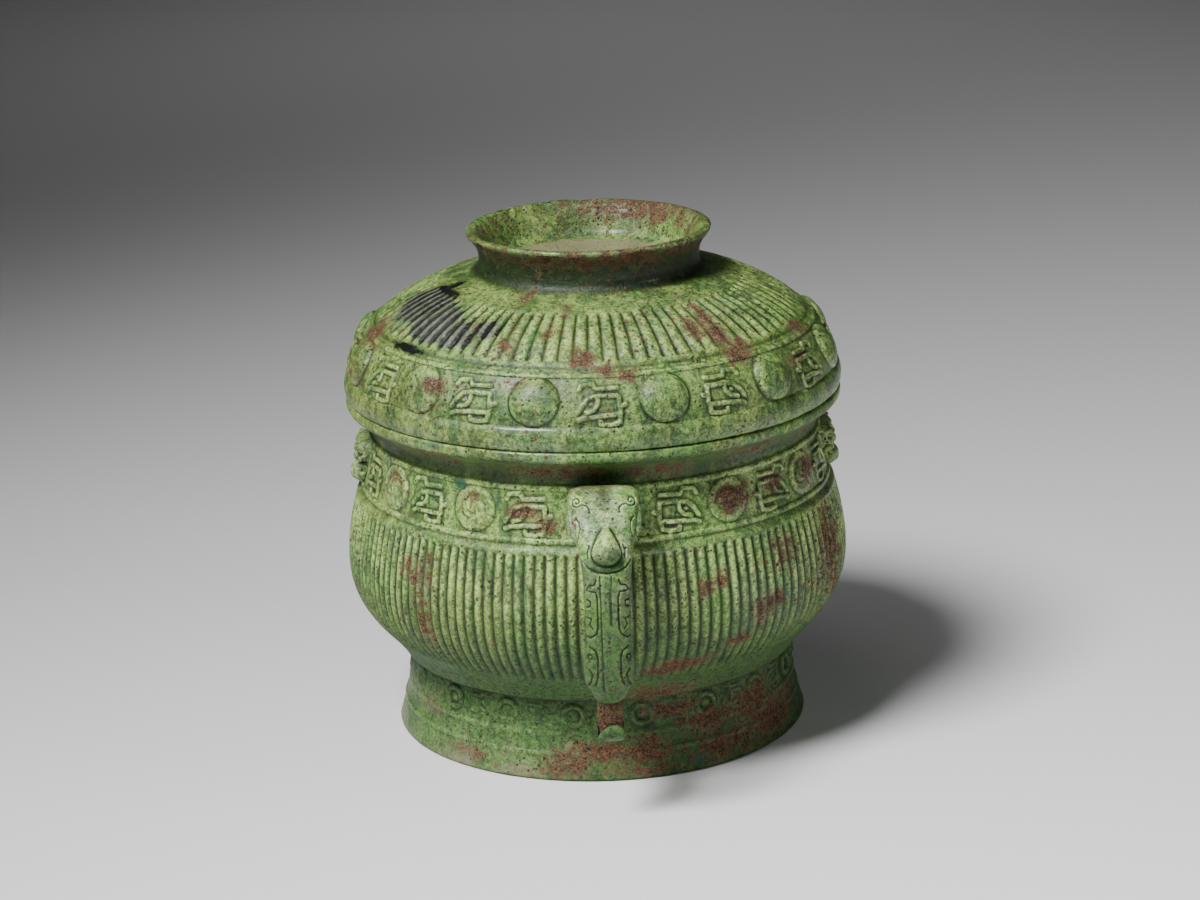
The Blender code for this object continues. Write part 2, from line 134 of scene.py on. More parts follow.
def spiral(cx, cy, start, end, turns, first, count=22):
    # A curl that grows from one radius to another while it turns
    share = np.linspace(0.0, 1.0, count)
    size = start + (end - start) * share
    angle = first + 2.0 * np.pi * turns * share
    return list(zip(cx + size * np.cos(angle), cy + size * np.sin(angle)))


def throughPoints(points, count):
    # A smooth curve through points, each stretch a cubic that leaves along its neighbours' chord
    points = np.array(points, float)
    ends = np.vstack([2 * points[0] - points[1], points, 2 * points[-1] - points[-2]])
    place = np.linspace(0.0, len(points) - 1.0, count)
    span = np.minimum(place.astype(int), len(points) - 2)
    t = (place - span)[:, None]
    a, b, c, d = ends[span], ends[span + 1], ends[span + 2], ends[span + 3]
    bend = (2 * a - 5 * b + 4 * c - d) * t ** 2 + (3 * b - a - 3 * c + d) * t ** 3
    return 0.5 * (2 * b + (c - a) * t + bend)


class Skin:
    # One closed surface: grids of points, the faces between them, and what each point carries
    def __init__(self):
        self.points, self.quads, self.tris, self.marks, self.count = [], [], [], {}, 0

    def grid(self, points, marks=None, wrap=True, flip=False):
        rows, columns = points.shape[:2]
        index = np.arange(rows * columns).reshape(rows, columns) + self.count
        self.add(points.reshape(-1, 3), marks or {})
        right = np.roll(index, -1, 1) if wrap else index[:, 1:]
        left = index if wrap else index[:, :-1]
        faces = np.stack([left[:-1], left[1:], right[1:], right[:-1]], -1).reshape(-1, 4)
        self.quads.append(faces[:, ::-1] if flip else faces)
        return index

    def add(self, points, marks):
        for key in set(self.marks) | set(marks):
            self.marks.setdefault(key, [np.zeros(self.count)] if self.count else [])
            value = marks.get(key, 0.0)
            self.marks[key].append(np.broadcast_to(value, np.shape(value) or (len(points),)).reshape(-1))
        self.points.append(points)
        self.count += len(points)

    def join(self, upper, lower):
        # Four-sided faces between two rings of as many points
        self.quads.append(np.stack([upper, lower, np.roll(lower, -1), np.roll(upper, -1)], -1))

    def stitch(self, fine, coarse, flip=False):
        # A fan of triangles from each point of a coarse ring to its stretch of a fine one
        times = len(fine) // len(coarse)
        block = np.roll(fine, times // 2).reshape(len(coarse), times)
        following = np.roll(block[:, 0], -1)
        ends = np.concatenate([block[:, 1:], following[:, None]], 1)
        middle = np.broadcast_to(coarse[:, None], block.shape)
        fans = np.stack([block, middle, ends], -1).reshape(-1, 3)
        links = np.stack([following, coarse, np.roll(coarse, -1)], -1)
        faces = np.concatenate([fans, links])
        self.tris.append(faces[:, ::-1] if flip else faces)

    def close(self, ring, point, marks=None, flip=False):
        # A fan to one point in the middle of a ring; a grid's first ring needs it flipped
        self.add(np.array([point], float), marks or {})
        hub = np.full(len(ring), self.count - 1)
        faces = np.stack([ring, hub, np.roll(ring, -1)], -1)
        self.tris.append(faces[:, ::-1] if flip else faces)

    def whole(self):
        points = np.concatenate(self.points)
        quads = np.concatenate(self.quads) if self.quads else np.zeros((0, 4), int)
        tris = np.concatenate(self.tris) if self.tris else np.zeros((0, 3), int)
        split = np.concatenate([tris, quads[:, [0, 1, 2]], quads[:, [0, 2, 3]]])
        a, b, c = points[split[:, 0]], points[split[:, 1]], points[split[:, 2]]
        if np.einsum("ij,ij->i", a, np.cross(b, c)).sum() < 0.0:   # volume: faces must point outwards
            quads, tris = quads[:, ::-1], tris[:, ::-1]
        return points, quads, tris, {key: np.concatenate(value) for key, value in self.marks.items()}


def makePiece(name, skins, finish, node):
    # Puts closed skins into one mesh by whole arrays, gives it its finish and lets it ride
    keys = sorted({key for skin in skins for key in skin.marks})
    parts, start = [], 0
    for skin in skins:
        points, quads, tris, marks = skin.whole()
        carried = [marks.get(key, np.zeros(len(points))) for key in keys]
        parts.append((points, quads + start, tris + start, *carried))
        start += len(points)
    points, quads, tris, *values = (np.concatenate(column) for column in zip(*parts))
    mesh = bpy.data.meshes.new(name)
    mesh.vertices.add(len(points))
    mesh.vertices.foreach_set("co", (points * 0.001).astype(np.float32).ravel())
    mesh.loops.add(quads.size + tris.size)
    mesh.loops.foreach_set("vertex_index", np.concatenate([quads.ravel(), tris.ravel()]).astype(np.int32))
    mesh.polygons.add(len(quads) + len(tris))
    starts = np.concatenate([np.arange(len(quads)) * 4, quads.size + np.arange(len(tris)) * 3])
    mesh.polygons.foreach_set("loop_start", starts.astype(np.int32))
    for key, value in zip(keys, values):
        layer = mesh.attributes.new(key, "FLOAT", "POINT")
        layer.data.foreach_set("value", value.astype(np.float32))
    mesh.update(calc_edges=True)
    mesh.validate()
    mesh.shade_smooth()
    mesh.materials.append(finish)
    piece = bpy.data.objects.new(name, mesh)
    bpy.context.scene.collection.objects.link(piece)
    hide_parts(node)
    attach(piece, "root")
    print(name, "has", 2 * len(quads) + len(tris), "triangles")


# Profiles, in millimetres, as the solids have them: a radius for each height, by a power of the share
# of the way from one end of the stretch to the other


def footRadius(z):
    return 88.3 + 7.2 * np.clip(1.0 - z / 36.0, 0.0, 1.0) ** 1.6


def beltRadius(z):
    return 91.2 + 9.8 * np.clip((z - 36.0) / 13.5, 0.0, 1.0) ** 1.25


def bellyRadius(z):
    # Two power curves that meet at the widest ring
    low = 15.0 * np.clip((82.6 - z) / 33.1, 0.0, 1.2) ** 2.4
    high = 5.2 * np.clip((z - 82.6) / 29.4, 0.0, 1.2) ** 1.7
    return 115.8 - low - high


def bandRadius(z):
    return 107.8 - 4.6 * np.clip((z - 116.5) / 23.0, 0.0, 1.2) ** 0.8


def neckRadius(z):
    return 102.6 + 11.0 * np.clip((z - 142.54) / 11.16, 0.0, 1.0) ** 2.3


def mouthRadius(z):
    return 99.4 + 7.6 * np.clip((z - 142.54) / 15.96, 0.0, 1.0) ** 1.8


def domeRadius(z, shrink=0.0):
    # A superellipse over the lid's edge, or the same one a wall further in
    up = np.clip((z - 168.6) / (49.5 - shrink), 0.0, 1.0)
    return (111.7 - shrink) * (1.0 - up ** 1.86) ** (1.0 / 2.43)


def domeHeight(r, shrink=0.0):
    out = np.clip(r / (111.7 - shrink), 0.0, 1.0)
    return 168.6 + (49.5 - shrink) * (1.0 - out ** 2.43) ** (1.0 / 1.86)


wear = {
    # patches: turn in degrees from the front handle, height, how far it spreads each way, strength
    "rustPatches": [
        (-4, 195, 4, 3, 0.95), (-14, 204, 4, 3, 0.50), (2, 191, 3, 3, 0.65), (-39, 202, 4, 4, 0.62),
        (-26, 199, 4, 4, 0.55), (30, 202, 3, 4, 0.70), (36, 199, 4, 5, 0.80), (37, 191, 4, 3, 0.75),
        (37, 205, 3, 4, 0.70), (40, 194, 4, 3, 0.70), (-79, 191, 7, 6, 0.62), (-66, 207, 4, 3, 0.50),
        (-30, 212, 4, 3, 0.45), (-11, 209, 3, 3, 0.42), (56, 183, 4, 3, 0.55), (7, 189, 4, 3, 0.60),
        (-41, 182, 3, 3, 1.00), (-75, 175, 6, 5, 0.45), (-20, 186, 5, 3, 0.45), (66, 192, 6, 5, 0.55),
        (0, 229, 180, 5, 0.44), (20, 231, 30, 4, 0.56), (150, 230, 50, 6, 0.66), (-46, 93, 4, 6, 0.54),
        (-50, 98, 3, 5, 0.46), (-44, 72, 3, 12, 0.54), (-43, 104, 3, 5, 0.40), (-19, 129, 4, 4, 0.66),
        (-13, 124, 4, 4, 0.60), (-33, 134, 4, 3, 0.45), (-60, 133, 4, 4, 0.45), (26, 96, 2.5, 4, 0.75),
        (23, 93, 2.5, 4, 0.75), (41, 80, 3, 5, 0.70), (37, 78, 3, 6, 0.66), (32, 65, 4, 3, 0.72),
        (19, 57, 7, 3.5, 0.85), (14, 54, 6, 3, 0.80), (66, 90, 8, 24, 0.66), (46, 100, 5, 8, 0.50),
        (33, 129, 5, 6, 0.90), (62, 129, 5, 7, 0.85), (47, 128, 4, 6, 0.55), (-10, 148, 14, 5, 0.54),
        (12, 147, 10, 4, 0.50), (40, 150, 14, 4, 0.44), (62, 150, 8, 6, 0.50), (-45, 150, 20, 4, 0.34),
        (-1, 13, 9, 5, 0.76), (-12, 9, 9, 5, 0.66), (10, 12, 9, 6, 0.76), (29, 22, 10, 5, 0.66),
        (20, 29, 9, 4, 0.66), (14, 40, 12, 5, 0.60), (48, 23, 10, 8, 0.66), (56, 12, 14, 10, 0.68),
        (10, 4, 12, 3, 0.60), (-14, 4, 12, 3, 0.62), (-42, 6, 12, 4, 0.50), (34, 8, 14, 7, 0.56),
        (-60, 20, 8, 6, 0.45), (-90, 60, 20, 30, 0.34), (150, 110, 26, 40, 0.44), (-150, 60, 30, 30, 0.44),
        (180, 20, 50, 20, 0.52), (120, 190, 24, 14, 0.44), (-130, 180, 20, 14, 0.40)],
    "barePatches": [
        (-72, 205, 14, 6.5, 0.96), (-54, 201, 9, 6.0, 1.0), (-45, 200, 9, 5.0, 0.88),
        (-35, 203, 7, 3.5, 0.66), (-57, 192.5, 8, 2.6, 0.62), (-75, 211, 5, 2.0, 0.62)],
    "tealPatches": [
        (-40, 157, 5, 3, 0.7), (-36, 138, 3, 4, 0.8), (-43, 3, 5, 3, 0.9), (26, 5, 6, 4, 0.9),
        (34, 17, 6, 5, 0.5), (-5, 58, 20, 8, 0.4), (-14, 84, 5, 22, 0.45), (-22, 141, 8, 3, 0.5),
        (-28, 164, 8, 3, 0.5), (4, 155, 14, 3, 0.55), (160, 60, 20, 20, 0.4)],
    # painted shade by height, and the turn of the foot's lit side, which gets no painted shade and is painted
    # paler
    "lowShade": ([22, 30, 45, 60, 78, 92, 106], [0.0, 0.22, 0.90, 0.62, 0.38, 0.10, 0.0]),
    "strapShade": ([30, 60, 75, 100, 116, 124], [0.90, 1.00, 0.80, 0.62, 0.44, 0.0]),
    "litTurn": -0.95,
}


def patchSum(points, patches):
    # The strongest of some soft ovals laid on the surface, each by its turn and height
    turn, level = np.degrees(turnOf(points)), points[..., 2]
    ragged = 1.0 + 0.35 * softNoise(points, 9.0, 3) + 0.25 * softNoise(points, 3.5, 4)
    best = np.zeros(level.shape)
    for middle, height, wide, tall, strength in patches:
        away = ((turn - middle + 180.0) % 360.0 - 180.0) / wide
        gap = away ** 2 + ((level - height) / tall) ** 2
        best = np.maximum(best, strength * np.exp(-gap * ragged))
    return best


def surfaceMarks(points, relief=None, passes=4, depth=0.5, wrap=True):
    # What the finish reads at each point: hollows, dust with painted light, painted shade, and patches of
    # rust, bare metal and teal
    flat = np.full(points.shape[:-1], 0.5)
    hollow = flat if relief is None else hollowOf(relief, passes, depth, wrap)
    marks = {"hollow": hollow, "dust": 0.0 * flat, "grime": shadeByPlace(points)}
    return marks | {key: patchSum(points, wear[key + "Patches"]) for key in ("rust", "bare", "teal")}


def shadeByPlace(points):
    # Painted shade where light seldom reaches: low on the belly, round the waist, on the strap,
    # in the neck under the lid, under the grip and inside, and on the foot away from its lit side
    radius, level = np.hypot(points[..., 0], points[..., 1]), points[..., 2]
    foot = 0.62 * fade(level, 31.0, 35.0) * ease(np.abs(turnOf(points) - wear["litTurn"]), 0.55, 1.0)
    low = np.maximum(np.interp(level, *wear["lowShade"]), foot) * window(radius, 80.0, 86.0, 120.0, 128.0)
    strap = np.interp(level, *wear["strapShade"]) * ease(radius, 120.0, 128.0)
    underRimShade = window(level, 139.5, 145.0, 156.8, 158.4) * fade(radius, 112.8, 114.0)
    grip = window(level, 213.0, 217.0, 230.0, 232.6) * window(radius, 49.6, 50.4, 54.0, 62.0)
    inside = fade(radius, 95.0, 99.0) * fade(level, 150.0, 158.0)
    return np.clip(np.maximum(low, strap) + 0.60 * underRimShade + 0.62 * grip + 0.6 * inside, 0.0, 1.0)


def pairs(radius, height):
    # A stretch of profile as (radius, height) rows
    return np.stack([radius, height], axis=-1)


def plainGrid(skin, rows, turn, flip=False):
    # A turned surface without relief, from its (radius, height) rows
    points = around(rows[:, :1], rows[:, 1:], turn[None, :])
    return skin.grid(points, surfaceMarks(points), flip=flip)


def lifted(radius, height, turn, relief):
    # Raises a turned surface by a relief, square to its profile
    dr, dz = np.gradient(radius), np.gradient(height)
    length = np.hypot(dr, dz)
    outR, outZ = -dz / length, dr / length
    r, z = radius[:, None] + outR[:, None] * relief, height[:, None] + outZ[:, None] * relief
    return around(r, z, turn[None, :])


def unevenness(radius, height, turn, amount=0.16):
    # The slight waviness of a hand-finished casting under its corrosion: noises from broad to fine
    points = around(radius[:, None], height[:, None], turn[None, :])
    waves = ((1.0, 26.0, 11), (0.5, 9.0, 12), (0.28, 3.2, 13))
    return amount * sum(share * softNoise(points, size, seed) for share, size, seed in waves)


motif = {
    "dragonStrokes": [[(-8.8, 5.8), (-7.6, 8.0), (-2.8, 8.6), (-1.2, 6.2), (8.0, 6.6)],
                      [(-9.4, -4.2), (-7.4, -0.6), (-4.6, 2.2), (-0.5, 3.1), (8.2, 3.0), (8.9, -4.3),
                       (8.0, -8.8), (4.3, -9.7), (0.3, -9.3), (0.1, -7.9)],
                      [(-0.5, 3.0), (-0.6, -0.6), (-2.6, -3.0), (-5.8, -3.9)],
                      [(8.4, -5.2), (-0.2, -5.7), (-6.8, -6.1), (-9.2, -7.4)],
                      [(8.8, -1.8), (11.0, -0.9)]],
    "dragonHalf": 0.95, "dragonSoft": 0.42, "dragonRise": 1.15,
    "pupil": (-3.6, -0.6, 0.8),
}


def dragonRelief(x, y):
    # Bars of one height, and a small round pupil under the brow
    gap = strokeGap(x, y, motif["dragonStrokes"])
    cx, cy, size = motif["pupil"]
    eye = ease(size + 0.4 - np.hypot(x - cx, y - cy), 0.0, 0.7)
    return motif["dragonRise"] * np.maximum(bar(gap, motif["dragonHalf"], motif["dragonSoft"]), 0.6 * eye)


def whorlRelief(x, y, size, seed):
    # A boss with a thick rim, worn away on one side, and hooked arcs round a low middle
    r = np.hypot(x, y) / size
    dome = 2.5 * np.clip(1.0 - r ** 2.4, 0.0, 1.0) ** 0.55
    turn = np.arctan2(y, x)
    moat = 1.2 * np.exp(-((r - 0.60) / 0.17) ** 2) * (0.65 + 0.35 * np.cos(turn - 2.2))
    arcs = [spiral(0.0, 0.0, 0.60 * size, 0.15 * size, 0.34, seed + k * quarter, 9) for k in range(3)]
    return dome - moat - 0.6 * bar(strokeGap(x, y, arcs), 0.3, 0.7) * fade(r, 0.7, 0.8)


def buttonRelief(x, y, size):
    # A smooth dome that meets the band at a sharp foot
    r = np.hypot(x, y) / size
    return 4.1 * np.clip(1.0 - r ** 2.1, 0.0, 1.0) ** 0.56


groundDepth = 1.7    # how far the plain ground lies behind the belts that stand on it

bowlLook = {
    "ribs": 146, "ribLean": 11.0, "ribDepth": 1.65, "ribTop": 111.6, "ribFoot": 50.2,
    "ribSteps": (0.0, 0.16, 0.33, 0.50, 0.67, 0.84), "ribPower": 1.35,
    "dragonTurns": (18.3, 46.4, 73.5), "roundelTurns": (31.8, 59.3), "roundelSize": 10.2,
    "beltTop": 138.9, "beltFoot": 117.3, "beltRows": 44, "beltColumns": 1320, "beltRadius": 105.2,
    "footMotifs": 36, "footRadius": 88.9, "footLevel": 28.8,
}


def ribColumns(ribs, lean, steps):
    # Turns at which a rib begins, rises and ends; they crowd where the caster set ribs closer
    table = np.linspace(-np.pi, np.pi, 7201)
    phase = (ribs * (table + np.pi) + lean * (np.cos(table) + 1.0)) / (2.0 * np.pi)
    marks = (np.arange(ribs)[:, None] + np.array(steps)[None, :]).ravel()
    return np.interp(marks, phase, table), marks


def ribRelief(phase, depth, power):
    # Rounded ribs with narrow grooves: a sine's arch, its top flattened by a power
    return depth * (np.abs(np.sin(np.pi * phase)) ** power - 1.0)


def ridge(height, middle, half, rise):
    # A raised line that runs round the vessel, with a rounded top
    return rise * np.sqrt(np.clip(1.0 - (np.abs(height - middle) / half) ** 2.4, 0.0, 1.0))


def footRelief(turn, height):
    # The worn band on the foot: low bosses and small dragons turn about, between two raised lines
    pitch = 2.0 * np.pi / bowlLook["footMotifs"]
    place = (turn + 0.5 * pitch) / pitch
    x = bowlLook["footRadius"] * pitch * (place % 1.0 - 0.5)
    y = height - bowlLook["footLevel"]
    r = np.hypot(x, y * 1.05)
    boss = 1.5 * ease(5.9 - r, 0.0, 1.1) - 1.5 * ease(4.3 - r, 0.0, 1.3) + 0.6 * ease(2.2 - r, 0.0, 2.0)
    small = 0.62
    gap = small * strokeGap(x * np.sign(np.sin(turn)) / small, y / small, motif["dragonStrokes"])
    return np.where(np.floor(place).astype(int) % 2 == 1, boss, bar(gap, 0.4, 0.55))


def makeBowl(finish):
    look = bowlLook
    turn, phase = ribColumns(look["ribs"], look["ribLean"], look["ribSteps"])
    lip = np.array([
        (107.2, 158.25), (107.9, 158.5), (110.4, 158.5), (112.4, 158.45), (113.25, 158.1), (113.6, 157.3),
        (113.65, 155.9), (113.45, 154.6), (112.9, 153.7), (111.9, 153.0)])
    neckZ = np.array([151.9, 150.4, 148.8, 147.0, 145.2, 143.6, 142.4, 141.6])
    upZ = np.array([141.1, 140.7, 140.1, 139.5, 138.9, 138.4])
    sunkZ = np.array([137.4, 128.0, 119.0])
    lowZ = np.array([118.2, 117.8, 117.3, 116.7, 116.1, 115.6, 115.1, 114.2, 113.2, 112.3])
    ribZ = np.concatenate([[111.6, 111.1, 110.4, 109.2], np.linspace(107.0, 54.0, 15),
                           [52.6, 51.4, 50.6, 50.0, 49.4]])
    beltZ = np.array([48.6, 47.0, 44.6, 42.0, 39.6, 37.8, 36.7, 36.2])
    footZ = np.concatenate([[35.8, 35.2, 34.4], np.linspace(33.6, 23.0, 15), [22.0, 21.6, 21.1, 20.5, 19.9,
                            19.4, 18.6, 16.6, 14.4, 13.0, 12.5, 11.8, 11.1, 10.6, 9.4, 6.6, 3.6, 1.6, 0.8]])
    stripeR = 107.9 + 2.7 * fade(lowZ, 112.4, 115.5)
    radius, height = np.concatenate([
        lip, pairs(neckRadius(neckZ), neckZ), pairs(bandRadius(upZ), upZ),
        pairs(bandRadius(sunkZ) - groundDepth, sunkZ),
        pairs(np.where(lowZ > 116.0, bandRadius(lowZ), stripeR), lowZ), pairs(bellyRadius(ribZ), ribZ),
        pairs(beltRadius(beltZ), beltZ), pairs(footRadius(footZ), footZ)]).T
    z = height[:, None]
    spots = around(radius[:, None], z, turn[None, :])
    ribs = ribRelief(phase[None, :], look["ribDepth"], look["ribPower"])
    top, foot = look["ribTop"], look["ribFoot"]
    reach = window(z, foot - 0.8, foot + 1.4, top - 1.1, top)
    worn = 0.86 + 0.20 * softNoise(spots, 14.0, 21) - 0.25 * ease(softNoise(spots, 22.0, 22), 0.35, 0.9)
    faint = 0.40 + 0.60 * ease(softNoise(spots, 30.0, 23), -0.5, 0.6)
    relief = ridge(z, 139.5, 1.25, 0.85) + ridge(z, 116.7, 1.25, 0.85)
    relief = relief - 0.6 * np.exp(-((z - 36.4) / 0.55) ** 2)                # the groove at the waist
    relief = relief + faint * (ridge(z, 20.5, 1.2, 0.8) + ridge(z, 11.8, 1.2, 0.7))
    relief = relief + 1.25 * faint * footRelief(turn[None, :], z) * window(z, 22.2, 23.2, 34.6, 35.6)
    relief = relief + unevenness(radius, height, turn)
    outer = lifted(radius, height, turn, relief + ribs * reach * worn)
    marks = surfaceMarks(outer, relief, 3, 0.95)
    hollow = marks["hollow"] - reach * (0.50 * ribs / look["ribDepth"] + 0.24)
    # Painted shade: darker in the neck under the lid's rim and in the waist groove under the belly
    overhangShade = 0.125 * np.exp(-((z - 145.0) / 4.0) ** 2) + 0.20 * np.exp(-((z - 36.6) / 1.4) ** 2)
    hollow = np.clip(hollow + overhangShade, 0.0, 1.0)
    # Painted light: the foot's lit left side is made paler, less dark in its hollows and dust-coloured; real
    # dust also lies near the base
    aside = np.abs(fromMiddle(turn, wear["litTurn"]))[None, :]
    litFootSide = fade(z, 27.0, 35.5) * fade(aside, 0.45, 1.2)
    carved = 0.5 + (hollow - 0.5) * (1.0 + 1.6 * fade(z, 35.0, 36.0))
    marks["hollow"] = np.clip(carved - 0.28 * litFootSide, 0.0, 1.0)
    marks["dust"] = 0.22 * litFootSide * (1.0 + softNoise(spots, 11.0, 24)) + 0.22 * fade(z, 2.0, 9.0)
    skin = Skin()
    rows = skin.grid(outer, marks)

    coarse = turn[3::6]                                   # every rib's crest, for the plain surfaces
    under = np.array([
        (94.6, 0.15), (93.9, 0.0), (92.4, 0.0), (91.6, 0.5), (90.6, 3.0), (88.2, 9.0), (86.0, 18.0),
        (84.6, 28.0), (84.2, 32.6), (83.2, 35.0), (81.4, 36.0), (70.0, 36.0), (50.0, 36.1), (25.0, 36.2),
        (8.0, 36.2)])
    bottom = plainGrid(skin, under, coarse)
    skin.stitch(rows[-1], bottom[0])
    skin.close(bottom[-1], (0.0, 0.0, 36.2), {"hollow": 0.5})

    mouthZ = np.array([157.6, 155.5, 152.5, 149.0, 145.5, 142.5])
    wallZ = np.concatenate([[138.0, 132.0, 124.0, 116.0], np.linspace(108.0, 54.0, 12)])
    wallR = np.minimum(bellyRadius(wallZ) - 4.9, 100.8 + 0.22 * (142.5 - wallZ))
    floor = np.array([
        (93.0, 47.0), (88.0, 43.0), (80.0, 41.0), (66.0, 40.0), (44.0, 39.8), (22.0, 39.8), (7.0, 39.8)])
    well = np.concatenate([pairs(mouthRadius(mouthZ), mouthZ), pairs(wallR, wallZ), floor])
    inside = plainGrid(skin, well, coarse, flip=True)
    skin.stitch(rows[0], inside[0], flip=True)
    skin.close(inside[-1], (0.0, 0.0, 39.8), {"hollow": 0.5}, flip=True)
    makePiece("bowlBody", [skin], finish, "bowl")


def beltGround(look, radiusOf):
    # The ground of an ornamented belt as a fine grid: its turns, heights, radii and points
    turn = np.linspace(-np.pi, np.pi, look["beltColumns"], endpoint=False)
    height = np.linspace(look["beltTop"], look["beltFoot"], look["beltRows"])
    radius = radiusOf(height)
    return turn, height, radius, around(radius[:, None], height[:, None], turn[None, :])


def beltSkin(look, ground, relief, depth, back):
    # Raises a belt's relief and closes it behind with a plain ring inside the casting's wall
    turn, height, radius, spots = ground
    marks = surfaceMarks(spots, relief, 5, depth)
    skin = Skin()
    rows = skin.grid(lifted(radius, height, turn, relief + unevenness(radius, height, turn, 0.20)), marks)
    inner = plainGrid(skin, np.array(back), turn, flip=True)
    skin.join(rows[-1], inner[1])
    skin.join(inner[0], rows[0])
    return skin


def makeBowlBelt(finish):
    look = bowlLook
    ground = turn, height, radius, spots = beltGround(look, bandRadius)
    sides = np.radians(np.array([s * a for a in look["dragonTurns"] for s in (-1, 1)]))
    facing = np.sign(np.sin(np.concatenate([sides, sides + np.pi])))  # mirrored across handles and masks
    sway = 0.30 * softNoise(spots, 5.0, 41)
    y = (height[:, None] - 128.4) * 1.02 + 0.25 * softNoise(spots, 5.0, 42)
    gap, which = nearestTurn(turn, np.concatenate([sides, np.pi - sides]))
    relief = dragonRelief(sway - gap * look["beltRadius"] * facing[which], y)
    sides = np.radians(np.array([s * a for a in look["roundelTurns"] for s in (-1, 1)]))
    gap, which = nearestTurn(turn, np.concatenate([sides, np.pi - sides]))
    whorl = whorlRelief(gap * look["beltRadius"] + 0.5 * sway, y, look["roundelSize"], 0.4)
    relief = np.maximum(relief, whorl) * (0.86 + 0.22 * softNoise(spots, 11.0, 43))
    skin = beltSkin(look, ground, relief, 0.8, [(100.4, 138.2), (103.4, 118.0)])
    makePiece("bowlBelt", [skin], finish, "bowl")


lidLook = {
    "ribs": 90, "ribLean": 2.0, "ribDepth": 1.15, "ribSteps": (0.0, 0.09, 0.21, 0.36, 0.5, 0.64, 0.79, 0.91),
    "ribPower": 0.85, "ribFoot": 97.0, "ribTop": 69.6, "pairs": 12, "buttonSize": 11.0,
    "beltTop": 188.9, "beltFoot": 169.3, "beltRows": 48, "beltColumns": 1360, "beltRadius": 108.5,
}


def makeLid(finish):
    look = lidLook
    turn, phase = ribColumns(look["ribs"], look["ribLean"], look["ribSteps"])
    dish = np.array([
        (7.0, 216.3), (16.0, 216.3), (26.0, 216.4), (35.0, 216.6), (40.0, 217.0), (43.0, 217.8),
        (44.8, 219.2), (45.7, 221.4), (46.4, 224.0), (47.6, 227.0), (49.4, 230.0), (50.9, 232.0),
        (51.9, 233.0), (53.2, 233.5), (54.6, 233.4), (55.6, 232.7), (55.9, 231.7), (55.4, 230.4),
        (54.2, 228.8), (52.6, 226.8), (51.2, 224.6), (50.5, 222.2), (50.3, 219.6), (50.4, 217.4),
        (50.9, 215.9), (52.0, 214.7), (53.6, 213.6)])
    topR = np.array([55.5, 58.0, 61.0, 64.5, 67.6])
    ribR = np.concatenate([[68.8, 69.4, 70.1, 71.0], np.linspace(73.0, 94.0, 12), [95.6, 96.5, 97.1, 97.8]])
    stripeR = np.array([98.9, 100.0])
    upZ = np.array([190.9, 190.5, 190.0, 189.5, 189.0, 188.6])
    sunkZ = np.array([187.6, 179.0, 170.6])
    edge = np.array([
        (111.2, 169.9), (111.9, 169.5), (112.6, 168.9), (113.1, 168.2), (113.5, 167.2), (113.9, 165.9),
        (114.15, 164.3), (114.1, 162.5), (113.8, 160.9), (113.4, 159.7), (112.9, 159.0), (112.2, 158.8)])
    radius, height = np.concatenate([
        dish, pairs(topR, domeHeight(topR)), pairs(ribR, domeHeight(ribR)),
        pairs(stripeR, domeHeight(stripeR)), pairs(domeRadius(upZ), upZ),
        pairs(domeRadius(sunkZ) - groundDepth, sunkZ), edge]).T
    r, z = radius[:, None], height[:, None]
    spots = around(r, z, turn[None, :])
    onDome = (z < 213.0) & (z > 189.0)
    outside = np.arange(len(radius))[:, None] > 16                           # rows past the grip's rim
    ribs = ribRelief(phase[None, :], look["ribDepth"], look["ribPower"])
    top, foot = look["ribTop"], look["ribFoot"]
    reach = onDome * window(r, top - 1.0, top + 0.6, foot - 1.6, foot)
    worn = 0.80 + 0.25 * softNoise(spots, 12.0, 51) - 0.3 * ease(softNoise(spots, 20.0, 52), 0.3, 0.9)
    relief = ridge(z, 189.6, 1.0, 0.55) - 0.35 * np.exp(-((r - 98.6) / 0.8) ** 2) * onDome
    rim = np.exp(-((r - 54.0) / 2.6) ** 2) * (z > 226.0)
    chips = ease(softNoise(spots, 5.0, 53) + 0.5 * softNoise(spots, 2.4, 54), 0.25, 0.95)
    relief = relief - rim * (1.3 * chips + 0.25) + unevenness(radius, height, turn, 0.17)
    outer = lifted(radius, height, turn, relief + ribs * reach * worn)
    dip = np.exp(-((np.degrees(turn) + 78.0) / 16.0) ** 2)[None, :]          # the rim is bent down here
    outer[..., 2] -= 0.9 * dip * ease(z, 228.0, 233.0)
    marks = surfaceMarks(outer, relief, 3, 0.7)
    hollow = marks["hollow"] - reach * (0.50 * ribs / look["ribDepth"] + 0.22)
    # Painted shade round the grip's neck under its rim
    underRimShade = np.exp(-((r - 51.2) / 2.6) ** 2) * (z < 231.0) * outside
    marks["hollow"] = np.clip(hollow + 0.26 * underRimShade, 0.0, 1.0)
    marks["dust"] = fade(r, 36.0, 44.5) * (z > 210.0) + 0.0 * ribs
    skin = Skin()
    rows = skin.grid(outer, marks)
    skin.close(rows[0], (0.0, 0.0, 216.3), {"hollow": 0.5, "dust": 1.0}, flip=True)

    coarse = turn[3::8]
    flange = np.array([
        (109.0, 158.85), (106.4, 158.9), (105.6, 158.4), (103.6, 156.0), (101.9, 153.6), (101.2, 153.0),
        (99.6, 153.0), (98.8, 153.6), (98.8, 155.6), (99.6, 160.0), (101.6, 165.0), (104.2, 169.6),
        (106.4, 172.6)])
    arch = np.array([176.0, 181.0, 186.0, 191.0, 196.0, 201.0, 205.0, 208.4, 211.0, 212.8, 213.9])
    below = plainGrid(skin, np.concatenate([flange, pairs(domeRadius(arch, 3.4), arch)]), coarse)
    skin.stitch(rows[-1], below[0])
    skin.close(below[-1], (0.0, 0.0, 214.7), {"hollow": 0.5})
    makePiece("lidBody", [skin], finish, "lid")


